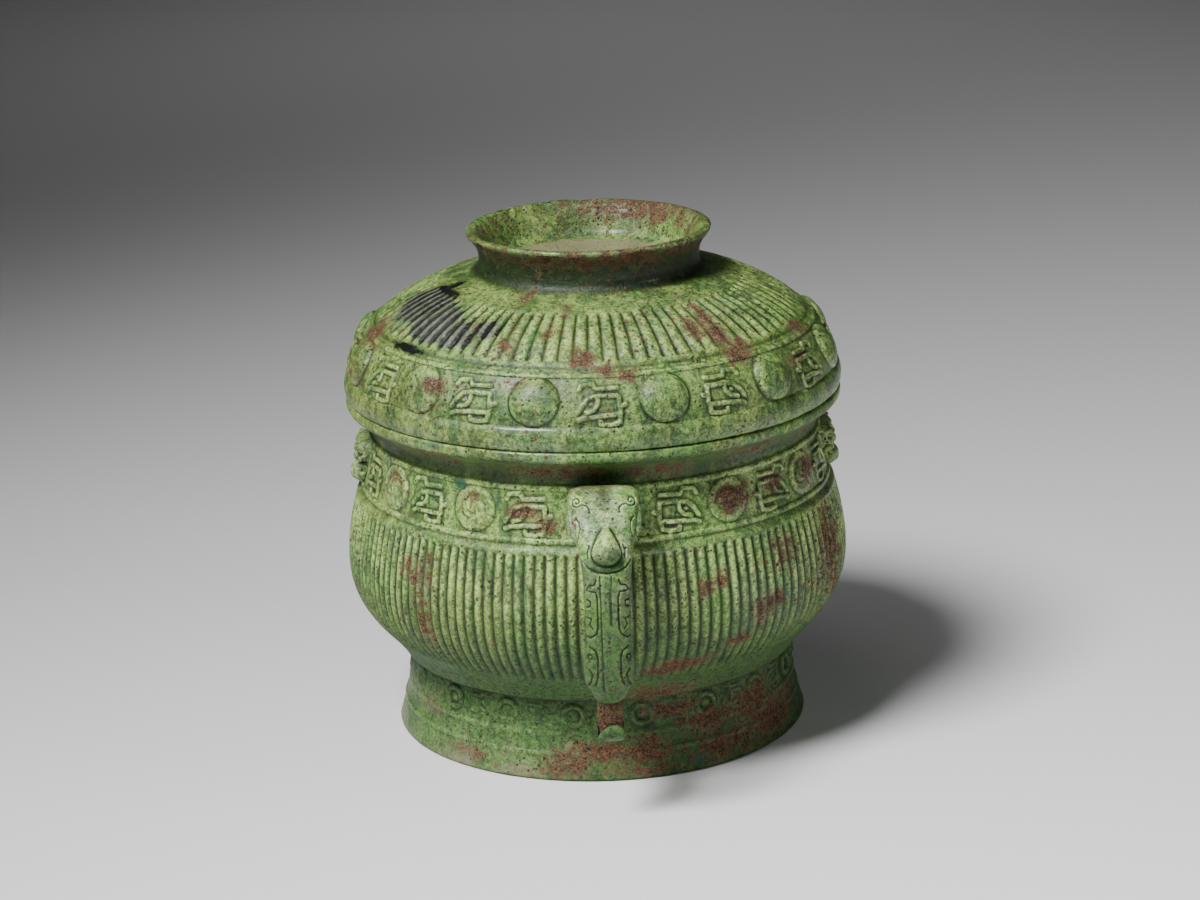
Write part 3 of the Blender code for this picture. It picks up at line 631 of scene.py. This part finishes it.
def makeLidBelt(finish):
    look = lidLook
    ground = turn, height, radius, spots = beltGround(look, domeRadius)
    along = np.concatenate([[0.0], np.cumsum(np.hypot(np.diff(radius), np.diff(height)))])
    share = 2.0 * np.pi / look["pairs"]
    middles = fromMiddle(np.arange(look["pairs"]) * share, 0.0)
    facing = np.where((middles > 0.01) & (middles < 3.0), 1.0, -1.0)
    gap, which = nearestTurn(turn, middles)
    y = (0.5 * along[-1] - along)[:, None] + 0.5 + 0.25 * softNoise(spots, 5.0, 61)
    sway = 0.30 * softNoise(spots, 5.0, 62)
    relief = dragonRelief(sway - gap * look["beltRadius"] * facing[which], y)
    gap, which = nearestTurn(turn, middles + 0.5 * share)
    button = buttonRelief(gap * look["beltRadius"], y - 0.8, look["buttonSize"])
    relief = np.maximum(relief, button) * (0.88 + 0.18 * softNoise(spots, 11.0, 63))
    back = pairs(domeRadius(np.array([188.0, 170.5])) - 2.4, [187.6, 170.6])
    makePiece("lidBelt", [beltSkin(look, ground, relief, 0.9, back)], finish, "lid")


handleLook = {
    # distance from the axis, height, width, thickness, and how square the section is
    "course": [
        (100.6, 131.2, 27.0, 16.0, 3.6), (106.0, 133.3, 29.6, 16.4, 4.0), (112.2, 135.0, 30.4, 16.8, 4.4),
        (119.0, 135.8, 30.4, 17.0, 4.4), (126.4, 132.2, 28.8, 17.0, 3.8), (133.2, 127.4, 25.6, 16.0, 3.0),
        (138.4, 122.4, 23.2, 14.6, 2.5), (141.6, 116.6, 21.4, 12.6, 2.7), (143.2, 110.0, 20.2, 11.4, 3.0),
        (143.7, 102.0, 19.6, 11.2, 3.2), (143.7, 92.0, 19.4, 11.2, 3.2), (143.6, 82.0, 19.6, 11.2, 3.2),
        (143.2, 74.0, 21.6, 11.2, 3.0), (141.8, 66.6, 21.0, 11.2, 2.7), (138.6, 60.6, 15.6, 11.0, 2.4),
        (133.4, 56.6, 12.6, 10.4, 2.4), (124.6, 54.4, 12.6, 10.2, 2.5), (114.0, 54.8, 12.4, 10.2, 2.4),
        (102.0, 56.6, 13.0, 10.8, 2.4)],
    "rows": 340, "columns": 168,
}


def turnedAbout(skins):
    # The same skins on the far side of the vessel
    for part in skins:
        part.points = [points * np.array([-1.0, -1.0, 1.0]) for points in part.points]


def makeHandle(name, finish, back):
    # A superellipse carried along the course, raised square to itself by the carving
    look = handleLook
    out, level, wide, thick, power = throughPoints(look["course"], look["rows"]).T[..., None]
    dr, dz = np.gradient(out[:, 0]), np.gradient(level[:, 0])
    length = np.hypot(dr, dz)
    outR, outZ = (-dz / length)[:, None], (dr / length)[:, None]   # square to the course, away from the belly
    angle = np.linspace(0.0, 2.0 * np.pi, look["columns"], endpoint=False) + 1.5 * np.pi
    c, s = np.cos(angle)[None, :], np.sin(angle)[None, :]
    x = 0.5 * wide * np.sign(c) * np.abs(c) ** (2.0 / power)
    t = 0.5 * thick * np.sign(s) * np.abs(s) ** (2.0 / power)
    girth = np.hypot(np.diff(x, axis=1, append=x[:, :1]), np.diff(t, axis=1, append=t[:, :1]))
    run = np.concatenate([np.zeros((len(x), 1)), np.cumsum(girth, axis=1)[:, :-1]], axis=1)
    front = run - run[:, look["columns"] // 2][:, None]   # distance round the section from its front
    step = np.hypot(np.diff(out[:, 0]), np.diff(level[:, 0]))
    along = np.concatenate([[0.0], np.cumsum(step)])[:, None] + 0.0 * x
    relief = handleRelief(front, along)
    gx = np.sign(c) * np.abs(2.0 * x / wide) ** (power - 1.0) / wide          # the section's own gradient
    gt = np.sign(s) * np.abs(2.0 * t / thick) ** (power - 1.0) / thick
    size = np.hypot(gx, gt)
    x, t = x + relief * gx / size, t + relief * gt / size
    points = np.stack([x, -(out + t * outR), level + t * outZ], -1)
    points = points + 0.14 * softNoise(points, 7.0, 71)[..., None] * np.array([0.6, -0.6, 0.4])
    marks = surfaceMarks(points, relief, 3, 0.36)
    # Painted shade on the snout's lower end, stronger on one side
    snout = window(along, 42.0, 48.0, 50.5, 52.5) * fade(np.abs(front), 5.5, 8.0)
    marks["grime"] = np.clip(marks["grime"] + snout * (0.55 + 0.35 * fade(front, -4.0, 1.0)), 0.0, 1.0)
    skin = Skin()
    rows = skin.grid(points, marks)
    skin.close(rows[0], (0.0, -100.4, 131.2), {"hollow": 0.6}, flip=True)
    skin.close(rows[-1], (0.0, -101.8, 56.6), {"hollow": 0.6})
    skins = [skin] + handleExtras()
    if back:
        turnedAbout(skins)
    makePiece(name, skins, finish, "bowl")


handleLines = {
    # (distance round the section from its front, distance along the handle), the same on both sides
    "lip": [(0.0, 50.8), (4.6, 50.2), (8.4, 48.6), (10.9, 46.0)],
    "cuts": [[(0.0, 52.1), (4.6, 51.5), (8.4, 49.9), (10.9, 47.3)],                  # under the lip
             [(7.4, 42.6), (8.4, 44.6), (8.0, 46.4)],                                # nostril
             spiral(11.6, 23.4, 0.5, 2.5, 1.3, 0.6, 16), [(9.4, 25.0), (7.6, 25.4), (6.4, 27.0), (6.4, 29.2)],
             [(13.0, 30.0), (11.4, 32.6), (11.4, 35.6), (12.8, 38.2)],               # temple
             [(4.9, 54.4), (5.6, 56.2), (8.2, 56.6), (9.6, 58.4)],                   # the strap's scrolls
             [(8.6, 58.6), (5.3, 59.0), (4.5, 61.4), (4.4, 74.0), (5.2, 77.2), (7.8, 79.0), (10.4, 78.6)],
             [(9.6, 62.4), (7.7, 62.8), (7.7, 65.0), (9.6, 65.6)],
             [(9.6, 70.0), (7.4, 70.6), (8.3, 73.2), (6.9, 75.0)],
             [(8.6, 83.2), (5.9, 84.8), (4.9, 87.8), (5.0, 96.0), (6.2, 99.8)],      # the calf's curls
             spiral(8.5, 88.0, 0.5, 1.8, 1.2, 0.4, 14),
             [(8.9, 93.0), (7.4, 95.4), (8.2, 98.6), (10.0, 101.0)],
             [(13.6, 60.0), (12.2, 63.0), (13.6, 66.0)], [(13.8, 84.0), (12.0, 88.0), (13.6, 92.0)]],
    # these two lines aren't mirrored: a long one on the left of the strap and a short one on its right
    "strap": [[(3.2, 53.0), (3.0, 80.0), (2.6, 102.0)], [(-1.5, 53.0), (-1.3, 73.0)]],
}


def handleRelief(front, along):
    # Temples and a hollow brow, an oval snout with a groove round it and a ridge before it, a raised
    # lip, and cut lines, from the distance round the section and the distance along the handle
    side = np.abs(front)
    relief = 0.9 * np.exp(-((side - 12.5) / 3.6) ** 2 - ((along - 22.0) / 5.0) ** 2)
    relief = relief - 0.8 * np.exp(-(side / 9.0) ** 2 - ((along - 20.0) / 9.0) ** 2)
    behind, past = np.clip((along - 36.0) / 9.0, 0.0, 1.0), np.maximum(along - 45.0, 0.0)
    wide = 6.2 * np.where(along < 45.0, behind ** 0.8, np.sqrt(np.clip(1.0 - (past / 4.6) ** 2, 0.0, 1.0)))
    tall = 5.0 * ease(along, 34.5, 45.0) * np.sqrt(np.clip(1.0 - (past / 4.4) ** 2, 0.0, 1.0))
    relief = relief + tall * np.sqrt(np.clip(1.0 - (side / np.maximum(wide, 0.3)) ** 2, 0.0, 1.0))
    relief = relief - 0.2 * bar(np.abs(side - wide - 0.3), 0.2, 0.4) * window(along, 43.0, 46.0, 49.0, 50.6)
    relief = relief + 0.8 * np.exp(-(front / 3.6) ** 2) * window(along, 26.0, 40.0, 41.0, 46.0)
    relief = relief + 0.35 * bar(strokeGap(side, along, [handleLines["lip"]]), 0.5, 0.6)
    relief = relief - 0.95 * bar(strokeGap(side, along, handleLines["cuts"]), 0.26, 0.42)
    return relief - 0.65 * bar(strokeGap(front, along, handleLines["strap"]), 0.22, 0.40)


def tube(path, size, sides=14):
    # A round bar along a smooth path, closed at both ends; its frame is carried by the path's plane
    path = throughPoints(path, 8 * len(path))
    size = np.interp(np.linspace(0, 1, len(path)), np.linspace(0, 1, len(size)), size)
    size[0] = size[-1] = 0.35 * min(size[0], size[-1])
    ahead = np.gradient(path, axis=0)
    ahead = ahead / np.linalg.norm(ahead, axis=1)[:, None]
    flat = np.linalg.svd(path - path.mean(0), full_matrices=False)[2][2]     # normal of the path's plane
    across = np.cross(ahead, flat)
    across = across / np.maximum(np.linalg.norm(across, axis=1), 1e-6)[:, None]
    turn = np.linspace(0.0, 2.0 * np.pi, sides, endpoint=False)[None, :, None]
    points = path[:, None] + size[:, None, None] * (across[:, None] * np.cos(turn) + flat * np.sin(turn))
    skin = Skin()
    rows = skin.grid(points, surfaceMarks(points))
    skin.close(rows[0], path[0], {"hollow": 0.5}, flip=True)
    skin.close(rows[-1], path[-1], {"hollow": 0.5})
    return skin


def handleExtras():
    # Small flaps at the cheeks, and the pendant: an outline carried across, with eased edges, whose
    # foot curls up as a hook that is peaked in its middle
    flap = [(13.2, -122.0, 138.4), (13.9, -125.0, 136.6), (14.1, -128.4, 133.6), (13.6, -131.6, 130.2),
            (12.0, -135.0, 126.4)]
    parts = [tube(np.array(flap) * (s, 1.0, 1.0), (1.4, 1.9, 2.0, 1.5, 0.8)) for s in (-1.0, 1.0)]
    outline = np.array([
        (135.2, 57.0), (135.1, 50.0), (135.2, 44.0), (135.6, 40.6), (136.8, 38.0), (139.2, 36.6),
        (141.6, 37.4), (142.5, 39.8), (142.2, 42.4), (141.2, 43.2), (140.6, 42.0), (140.7, 40.6),
        (139.9, 39.8), (138.9, 41.0), (138.9, 44.6), (139.4, 50.0), (139.6, 57.0)])
    spine = throughPoints([
        (137.3, 57.0), (137.1, 50.0), (137.2, 44.0), (138.0, 38.6), (139.6, 37.0), (141.4, 38.6),
        (141.5, 41.4)], len(outline) // 2 + 1)
    inward = np.vstack([spine, spine[-2::-1]]) - outline
    inward = inward / np.maximum(np.linalg.norm(inward, axis=1), 0.5)[:, None]
    r, z = outline.T
    half = 5.6
    x = np.linspace(-half, half, 17)[:, None]
    hook = ease(r, 139.4, 141.0) * fade(z, 43.0, 46.0) * (1.6 - 2.6 * ((x - 1.6) / half) ** 2)
    eased = 0.7 * np.abs(x / half) ** 6
    points = np.stack([x + 0.0 * r, -(r + eased * inward[:, 0]), z + eased * inward[:, 1] + hook], -1)
    marks = surfaceMarks(points)
    hookRustAndShade = fade(r, 139.7, 140.9) * ease(z, 38.0, 42.0)    # rust and painted shade between the pendant and its hook
    marks["rust"] = np.broadcast_to(0.55 * hookRustAndShade, points.shape[:2])
    marks["hollow"] = np.broadcast_to(0.5 + 0.5 * hookRustAndShade * fade(z, 45.0, 50.0), points.shape[:2])
    skin = Skin()
    rows = skin.grid(points, marks)
    skin.close(rows[0], (-half, -137.2, 47.0), {"hollow": 0.6, "rust": 0.4}, flip=True)
    skin.close(rows[-1], (half, -137.2, 47.0), {"hollow": 0.6, "rust": 0.4})
    return parts + [skin]


maskLook = {
    "wide": 15.2, "tall": 11.4, "level": 126.8, "wall": 102.6, "reach": 113.6, "rows": 90, "columns": 96,
    # half width and height above the wall, each against the way up the face
    "outline": ([-1.0, -0.8, -0.35, 0.1, 0.45, 0.8, 1.0], [0.36, 0.56, 0.72, 0.84, 0.98, 1.0, 0.86]),
    "profile": ([-1.0, -0.92, -0.72, -0.35, 0.05, 0.3, 0.6, 0.85, 1.0],
                [5.6, 7.8, 9.2, 9.2, 6.6, 6.2, 7.6, 6.6, 4.2]),
    # distance to the side, height, size and thickness of the ear's and the jaw's curl
    "curls": [(13.2, 132.4, 3.2, 1.5), (11.2, 124.0, 2.6, 1.5)],
}


def makeMask(name, finish, left):
    # A profile up the face times a rounded cross-section, falling to the wall at the outline, with an
    # oval muzzle, a bar of a nose, eyes in a groove, curled ears and cut cheeks
    look = maskLook
    v = np.linspace(-1.0, 1.0, look["rows"])[:, None]
    u = np.linspace(-1.0, 1.0, look["columns"])[None, :]
    x = u * np.interp(v, *look["outline"]) * look["wide"]
    y = v * look["tall"] + 0.0 * u
    side = np.abs(x)
    detail = 1.5 * np.sqrt(np.clip(1.0 - (x / 4.6) ** 2 - ((y + 6.6) / 5.0) ** 2, 0.0, 1.0))
    detail = detail + 0.8 * bar(side, 1.4, 1.0) * window(y, -4.0, -1.0, 6.0, 9.0)
    eye = np.hypot((side - 6.2) / 1.3, y - 0.6)
    detail = detail + 1.1 * np.sqrt(np.clip(1.0 - (eye / 2.4) ** 2, 0.0, 1.0))
    detail = detail - 0.6 * bar(np.abs(eye - 3.1), 0.2, 0.4)
    ears = [spiral(9.6, 7.2, 4.4, 1.1, 1.2, -1.2)]
    detail = detail + 1.2 * bar(strokeGap(side, y, ears), 0.7, 0.6)
    cheeks = [spiral(7.4, -6.6, 2.9, 0.8, -1.1, 0.8), [(2.0, 4.4), (5.4, 5.0), (9.0, 3.6), (11.4, 1.0)]]
    detail = detail - 0.7 * bar(strokeGap(side, y, cheeks), 0.3, 0.4)
    edge = (1.0 - np.abs(u) ** 7) ** 0.45 * (1.0 - np.abs(v) ** 9) ** 0.45
    rise = np.interp(v, *look["profile"]) * (1.0 - 0.22 * np.abs(u) ** 2.4) + 1.2
    points = np.stack([look["wall"] - 1.2 + (rise + detail) * edge, x, look["level"] + y], -1)
    points = points + 0.12 * softNoise(points, 6.0, 81)[..., None] * np.array([1.0, 0.4, 0.4])
    points[..., 0] = np.minimum(points[..., 0], look["reach"])
    skin = Skin()
    rows = skin.grid(points, surfaceMarks(points, detail * edge, 3, 0.7, False), wrap=False)
    border = np.concatenate([rows[0, :-1], rows[:-1, -1], rows[-1, :0:-1], rows[:0:-1, 0]])
    ring = points.reshape(-1, 3)[border].copy()
    ring[:, 0] = look["wall"] - 1.8
    base = skin.grid(ring[None], surfaceMarks(ring[None]))[0]
    skin.join(base, border)
    skin.close(base, (look["wall"] - 1.8, 0.0, look["level"] + 1.2), {"hollow": 0.5}, flip=True)
    skins = [skin]
    for side, level, size, fat in look["curls"]:
        curl = spiral(look["wall"] + 5.2, level, 0.9, size, -1.2, 2.2, 14)
        skins += [tube([(r, s * side, z) for r, z in curl], (0.9 * fat, fat, fat)) for s in (-1.0, 1.0)]
    if left:
        turnedAbout(skins)
    makePiece(name, skins, finish, "bowl")


class Wire:
    # A socket with Python's operators, each of which adds a Math node
    def __init__(self, shop, socket):
        self.shop, self.socket = shop, socket

    def maths(self, operation, *values, clamp=False):
        settings = {"operation": operation, "use_clamp": clamp}
        return self.shop.node("ShaderNodeMath", settings, dict(enumerate(values)))

    def __add__(self, other):
        return self.maths("ADD", self, other)

    def __sub__(self, other):
        return self.maths("SUBTRACT", self, other)

    def __rsub__(self, other):
        return self.maths("SUBTRACT", other, self)

    def __mul__(self, other):
        return self.maths("MULTIPLY", self, other)

    __radd__ = __add__
    __rmul__ = __mul__

    def held(self):
        # Kept between 0 and 1
        return self.maths("ADD", self, 0.0, clamp=True)

    def between(self, low, high):
        # 0 below low, 1 above high, smooth between
        return self.shop.node("ShaderNodeMapRange", {"interpolation_type": "SMOOTHSTEP"},
                              {"Value": self, "From Min": low, "From Max": high})


class Shop:
    # Adds nodes to one material, and keeps the colour mixed so far
    def __init__(self, name):
        self.material = bpy.data.materials.new(name)
        self.material.use_nodes = True
        self.tree = self.material.node_tree
        self.shader = self.tree.nodes["Principled BSDF"]
        self.place = self.node("ShaderNodeTexCoord", out="Object")

    def node(self, kind, settings=None, sockets=None, out=0):
        made = self.tree.nodes.new(kind)
        for key, value in (settings or {}).items():
            setattr(made, key, value)
        for key, value in (sockets or {}).items():
            self.feed(made.inputs[key], value)
        return Wire(self, made.outputs[out])

    def feed(self, socket, value):
        if isinstance(value, Wire):
            self.tree.links.new(value.socket, socket)
        else:
            socket.default_value = value

    def noise(self, scale, detail=3.0, rough=0.55, warp=0.0, stretch=1.0):
        place = self.place
        if stretch != 1.0:
            drawn = {0: place, 1: (1.0, 1.0, stretch)}
            place = self.node("ShaderNodeVectorMath", {"operation": "MULTIPLY"}, drawn)
        sockets = {"Vector": place, "Scale": scale, "Detail": detail, "Roughness": rough, "Distortion": warp}
        return self.node("ShaderNodeTexNoise", {}, sockets, "Fac")

    def dots(self, scale):
        # Distance to the nearest of some scattered points
        return self.node("ShaderNodeTexVoronoi", {}, {"Vector": self.place, "Scale": scale}, "Distance")

    def mark(self, name):
        return self.node("ShaderNodeAttribute", {"attribute_name": name}, {}, "Fac")

    def mix(self, share, first, second):
        first, second = ((*tone, 1.0) if isinstance(tone, tuple) else tone for tone in (first, second))
        return self.node("ShaderNodeMix", {"data_type": "RGBA"}, {0: share, 6: first, 7: second}, 2)

    def cover(self, tone, share):
        # Lays one more colour over what is mixed so far
        self.colour = self.mix(share, self.colour, tone)

    def shade(self, factor):
        # Makes the colour mixed so far darker or lighter by a number
        sockets = {0: self.colour, "Scale": factor}
        self.colour = self.node("ShaderNodeVectorMath", {"operation": "SCALE"}, sockets)


patina = {
    "green": (0.058, 0.140, 0.022), "yellow": (0.130, 0.172, 0.032), "cool": (0.050, 0.118, 0.038),
    # On this row, the dark green after the deep colour is painted shade, laid under overhangs
    "pale": (0.250, 0.350, 0.105), "deep": (0.006, 0.015, 0.003), "grime": (0.024, 0.062, 0.012),
    "fleck": (0.44, 0.54, 0.24), "rustDark": (0.026, 0.009, 0.005), "rustLight": (0.175, 0.066, 0.035),
    "bare": (0.010, 0.012, 0.010), "grey": (0.26, 0.29, 0.20), "teal": (0.012, 0.110, 0.062),
    "dust": (0.240, 0.215, 0.125), "tan": (0.155, 0.125, 0.060), "olive": (0.048, 0.078, 0.020),
}


def patinaFinish(name, brightness=1.0, gloss=0.0, greyness=0.0):
    # Greens that drift broadly, with olive clouds and upright streaks, paler on crests and dark in
    # hollows and under the painted shade; over them tan round the rust, specks and flecks, teal bloom, rust,
    # bare metal, dust with painted light, and pits. Each shows where its mark plus ragged noises passes a
    # level.
    shop = Shop(name)
    broad = shop.noise(17.0, 3.0, 0.5)
    drift = shop.noise(31.0, 3.0, 0.5)
    cloud = shop.noise(52.0, 4.0, 0.65, 0.6).between(0.47, 0.62)
    middle = shop.noise(95.0, 4.0, 0.6)
    streak = shop.noise(150.0, 3.0, 0.6, 0.0, 0.12)
    blotch = shop.noise(230.0, 6.0, 0.75, 0.4)
    fine = shop.noise(460.0, 4.0, 0.7)
    grain = shop.noise(1250.0, 3.0, 0.7)
    hollow, rust, bare = shop.mark("hollow"), shop.mark("rust"), shop.mark("bare")
    teal, dust, grime = shop.mark("teal"), shop.mark("dust"), shop.mark("grime")

    shop.colour = patina["green"]
    shop.cover(patina["yellow"], broad.between(0.42, 0.62))
    shop.cover(patina["cool"], drift.between(0.50, 0.70) * 0.7)
    shop.cover(patina["olive"], cloud * 0.75)
    pale = middle * 0.8 + fine * 0.7 + grain * 0.5 - hollow * 1.5 - grime * 0.5 - cloud * 0.30
    shop.cover(patina["pale"], pale.between(-0.10, 0.75) * 0.9)
    shop.cover(patina["cool"], streak.between(0.50, 0.62) * 0.55)
    shop.cover(patina["pale"], (0.50 - streak).between(0.0, 0.12) * 0.3)
    shop.cover(patina["grey"], middle.between(0.40, 0.60) * greyness)
    # Painted shade: a dark green laid where the painted-shade mark is
    shop.cover(patina["grime"], (grime * 1.1 + middle * 0.5 + fine * 0.4 - 0.45).between(0.0, 0.95) * 0.92)
    shop.cover(patina["deep"], (hollow * 1.6 + middle * 0.5 + fine * 0.5).between(1.22, 1.72) * 0.95)
    halo = rust * 0.5 + blotch * 0.5 + middle * 0.5 + hollow * 0.1
    shop.cover(patina["tan"], halo.between(0.58, 0.86) * 0.55)
    shop.shade(((fine * 0.6 + grain * 0.4).between(0.41, 0.59) * 1.05 + 0.50) * brightness)
    fleck = grain * 0.6 + fine * 0.4 - hollow * 0.2 - grime * 0.1
    shop.cover(patina["fleck"], fleck.between(0.48, 0.55) * 0.45)

    bloom = teal * 0.50 + middle * 0.25 + fine * 0.35 + grain * 0.2
    shop.cover(patina["teal"], bloom.between(0.64, 0.74) * 0.8)
    specks = (1.0 - shop.dots(270.0).between(0.14, 0.34)) * drift.between(0.46, 0.58)
    rusty = blotch * 0.62 + fine * 0.34 + grain * 0.24 + rust * 0.30 + specks * 0.17 + hollow * 0.05
    rustShare = rusty.between(0.745, 0.763) * (1.0 - grain.between(0.56, 0.64) * 0.6)
    rustTone = (grain * 0.6 + fine * 0.4).between(0.42, 0.58)
    shop.cover(shop.mix(rustTone, patina["rustDark"], patina["rustLight"]), rustShare * 0.9)
    bareShare = (bare * 0.9 + blotch * 0.45 + fine * 0.45 + hollow * 0.25 - 0.56).between(0.32, 0.42)
    bareTone = (hollow * -1.8 + fine * 0.8 + grain * 0.4 + 0.60).between(0.35, 0.85)
    shop.cover(shop.mix(bareTone, patina["bare"], patina["grey"]), bareShare)
    # Dust, and painted light on the foot's lit side
    shop.cover(patina["dust"], (dust * 0.8 + middle * 0.5 + fine * 0.3 - 0.32).between(0.22, 0.72) * 0.85)
    pits = (1.0 - shop.dots(430.0).between(0.16, 0.30)) * middle.between(0.44, 0.58)
    shop.cover(patina["deep"], pits * 0.9)
    crest = (0.5 - hollow) * 2.0
    rough = 0.42 + fine * 0.16 + grime * 0.20 + rustShare * 0.24 - bareShare * 0.14
    waxed = (1.0 - rustShare) * (1.0 - grime * 0.8) * (drift.between(0.45, 0.65) * 0.45 + crest * 0.2 + gloss)
    bumps = middle * 0.50 + fine * 0.46 + grain * 0.26 + rustShare * (0.06 + grain * 0.30) - pits * 0.40
    bump = shop.node("ShaderNodeBump", {}, {"Height": bumps, "Strength": 0.85, "Distance": 0.0013})
    surface = {
        "Base Color": shop.colour, "Roughness": (rough - crest.between(0.1, 0.9) * 0.10 - gloss).held(),
        "Metallic": (bareShare * 0.30 + crest.between(0.2, 1.0) * 0.06).held(), "Coat Weight": waxed.held(),
        "Coat Roughness": 0.24, "Specular IOR Level": 0.38, "Normal": bump,
    }
    for key, value in surface.items():
        shop.feed(shop.shader.inputs[key], value)
    return shop.material


print("finishes")
bowlFinish = patinaFinish("bowlPatina", 1.42, 0.02)
handleFinish = patinaFinish("handlePatina", 1.55, 0.04, 0.35)
lidFinish = patinaFinish("lidPatina", 1.16, 0.13)

print("bowl")
makeBowl(bowlFinish)
makeBowlBelt(bowlFinish)
print("handles and masks")
makeHandle("handleFront", handleFinish, False)
makeHandle("handleBack", handleFinish, True)
makeMask("maskRight", handleFinish, False)
makeMask("maskLeft", handleFinish, True)
print("lid")
makeLid(lidFinish)
makeLidBelt(lidFinish)

print("camera, floor and lights")
shot = {
    # millimetres, metres and degrees
    "lens": 99.3, "away": 1.4695, "up": 0.565, "aside": 0.00243, "pitch": 16.63, "roll": 1.69, "turn": -1.5,
}


def placeCamera():
    turn, pitch, roll = (math.radians(shot[key]) for key in ("turn", "pitch", "roll"))
    right = np.array([math.cos(turn), math.sin(turn), 0.0])
    ahead = np.array([-math.sin(turn), math.cos(turn), 0.0])
    up = math.sin(pitch) * ahead + np.array([0.0, 0.0, math.cos(pitch)])
    view = math.cos(pitch) * ahead - np.array([0.0, 0.0, math.sin(pitch)])
    tiltedRight = math.cos(roll) * right - math.sin(roll) * up
    tiltedUp = math.sin(roll) * right + math.cos(roll) * up
    place = -shot["away"] * ahead + np.array([0.0, 0.0, shot["up"]]) + shot["aside"] * right
    data = bpy.data.cameras.new("camera")
    data.lens = shot["lens"]
    data.sensor_width = 36.0
    camera = bpy.data.objects.new("camera", data)
    matrix = np.eye(4)
    matrix[:3, 0], matrix[:3, 1], matrix[:3, 2], matrix[:3, 3] = tiltedRight, tiltedUp, -view, place
    camera.matrix_world = Matrix(matrix.tolist())
    bpy.context.scene.collection.objects.link(camera)
    bpy.context.scene.camera = camera


studio = {
    "near": -3.0, "far": 3.4, "bend": 1.6, "top": 6.0, "side": 6.0, "below": 0.0002,
    "floor": (0.76, 0.76, 0.765, 1.0), "sky": (0.8, 0.82, 0.85, 1.0), "skyStrength": 0.02,
}


def makeFloor():
    # A pale sheet that curves up behind the vessel: flat, then a quarter circle, then upright
    look = studio
    ahead = np.linspace(look["near"], look["far"], 12)
    bend = np.linspace(0.0, quarter, 25)[1:]
    run = np.concatenate([ahead, look["far"] + look["bend"] * np.sin(bend), [look["far"] + look["bend"]]])
    rise = np.concatenate([0.0 * ahead, look["bend"] * (1.0 - np.cos(bend)), [look["top"]]]) - look["below"]
    side = np.linspace(-look["side"], look["side"], 9)
    points = np.stack(np.broadcast_arrays(side[None, :], run[:, None], rise[:, None]), -1)
    rows, columns = points.shape[:2]
    index = np.arange(rows * columns).reshape(rows, columns)
    faces = np.stack([index[:-1, :-1], index[:-1, 1:], index[1:, 1:], index[1:, :-1]], -1).reshape(-1, 4)
    mesh = bpy.data.meshes.new("floor")
    mesh.from_pydata(points.reshape(-1, 3).tolist(), [], faces.tolist())
    mesh.shade_smooth()
    shop = Shop("paleSheet")
    shop.shader.inputs["Base Color"].default_value = look["floor"]
    shop.shader.inputs["Roughness"].default_value = 0.9
    mesh.materials.append(shop.material)
    floor = bpy.data.objects.new("floor", mesh)
    bpy.context.scene.collection.objects.link(floor)


lamps = {
    # place, what it is aimed at, size, spread in degrees, power
    "keyLeft": ((-0.74, -0.80, 1.62), (0.40, -0.50, 0.0), 0.72, 88.0, 21.5),
    "softTop": ((-0.35, -0.10, 1.88), (0.0, 0.0, 0.1), 0.9, 140.0, 0.9),
    "softLeft": ((-1.45, -0.30, 1.15), (0.0, 0.0, 0.1), 1.2, 140.0, 1.5),
    "glintRight": ((1.50, -0.65, 0.95), (0.10, 0.0, 0.15), 0.5, 120.0, 1.7),
    "farWash": ((0.20, 1.95, 1.60), (0.20, 1.95, 0.0), 1.0, 95.0, 1.2),
}


def makeLights():
    for name, (place, target, size, spread, power) in lamps.items():
        data = bpy.data.lights.new(name, "AREA")
        data.shape = "DISK"
        data.size = size
        data.energy = power
        data.spread = math.radians(spread)
        lamp = bpy.data.objects.new(name, data)
        lamp.location = place
        aim = np.array(target) - np.array(place)
        yaw = math.atan2(aim[1], aim[0])
        dip = math.atan2(math.hypot(aim[0], aim[1]), -aim[2])
        lamp.rotation_euler = (dip, 0.0, yaw - quarter)
        bpy.context.scene.collection.objects.link(lamp)
    world = bpy.data.worlds.new("room")
    world.use_nodes = True
    background = world.node_tree.nodes["Background"]
    background.inputs["Color"].default_value = studio["sky"]
    background.inputs["Strength"].default_value = studio["skyStrength"]
    bpy.context.scene.world = world


placeCamera()
makeFloor()
makeLights()

print("done")
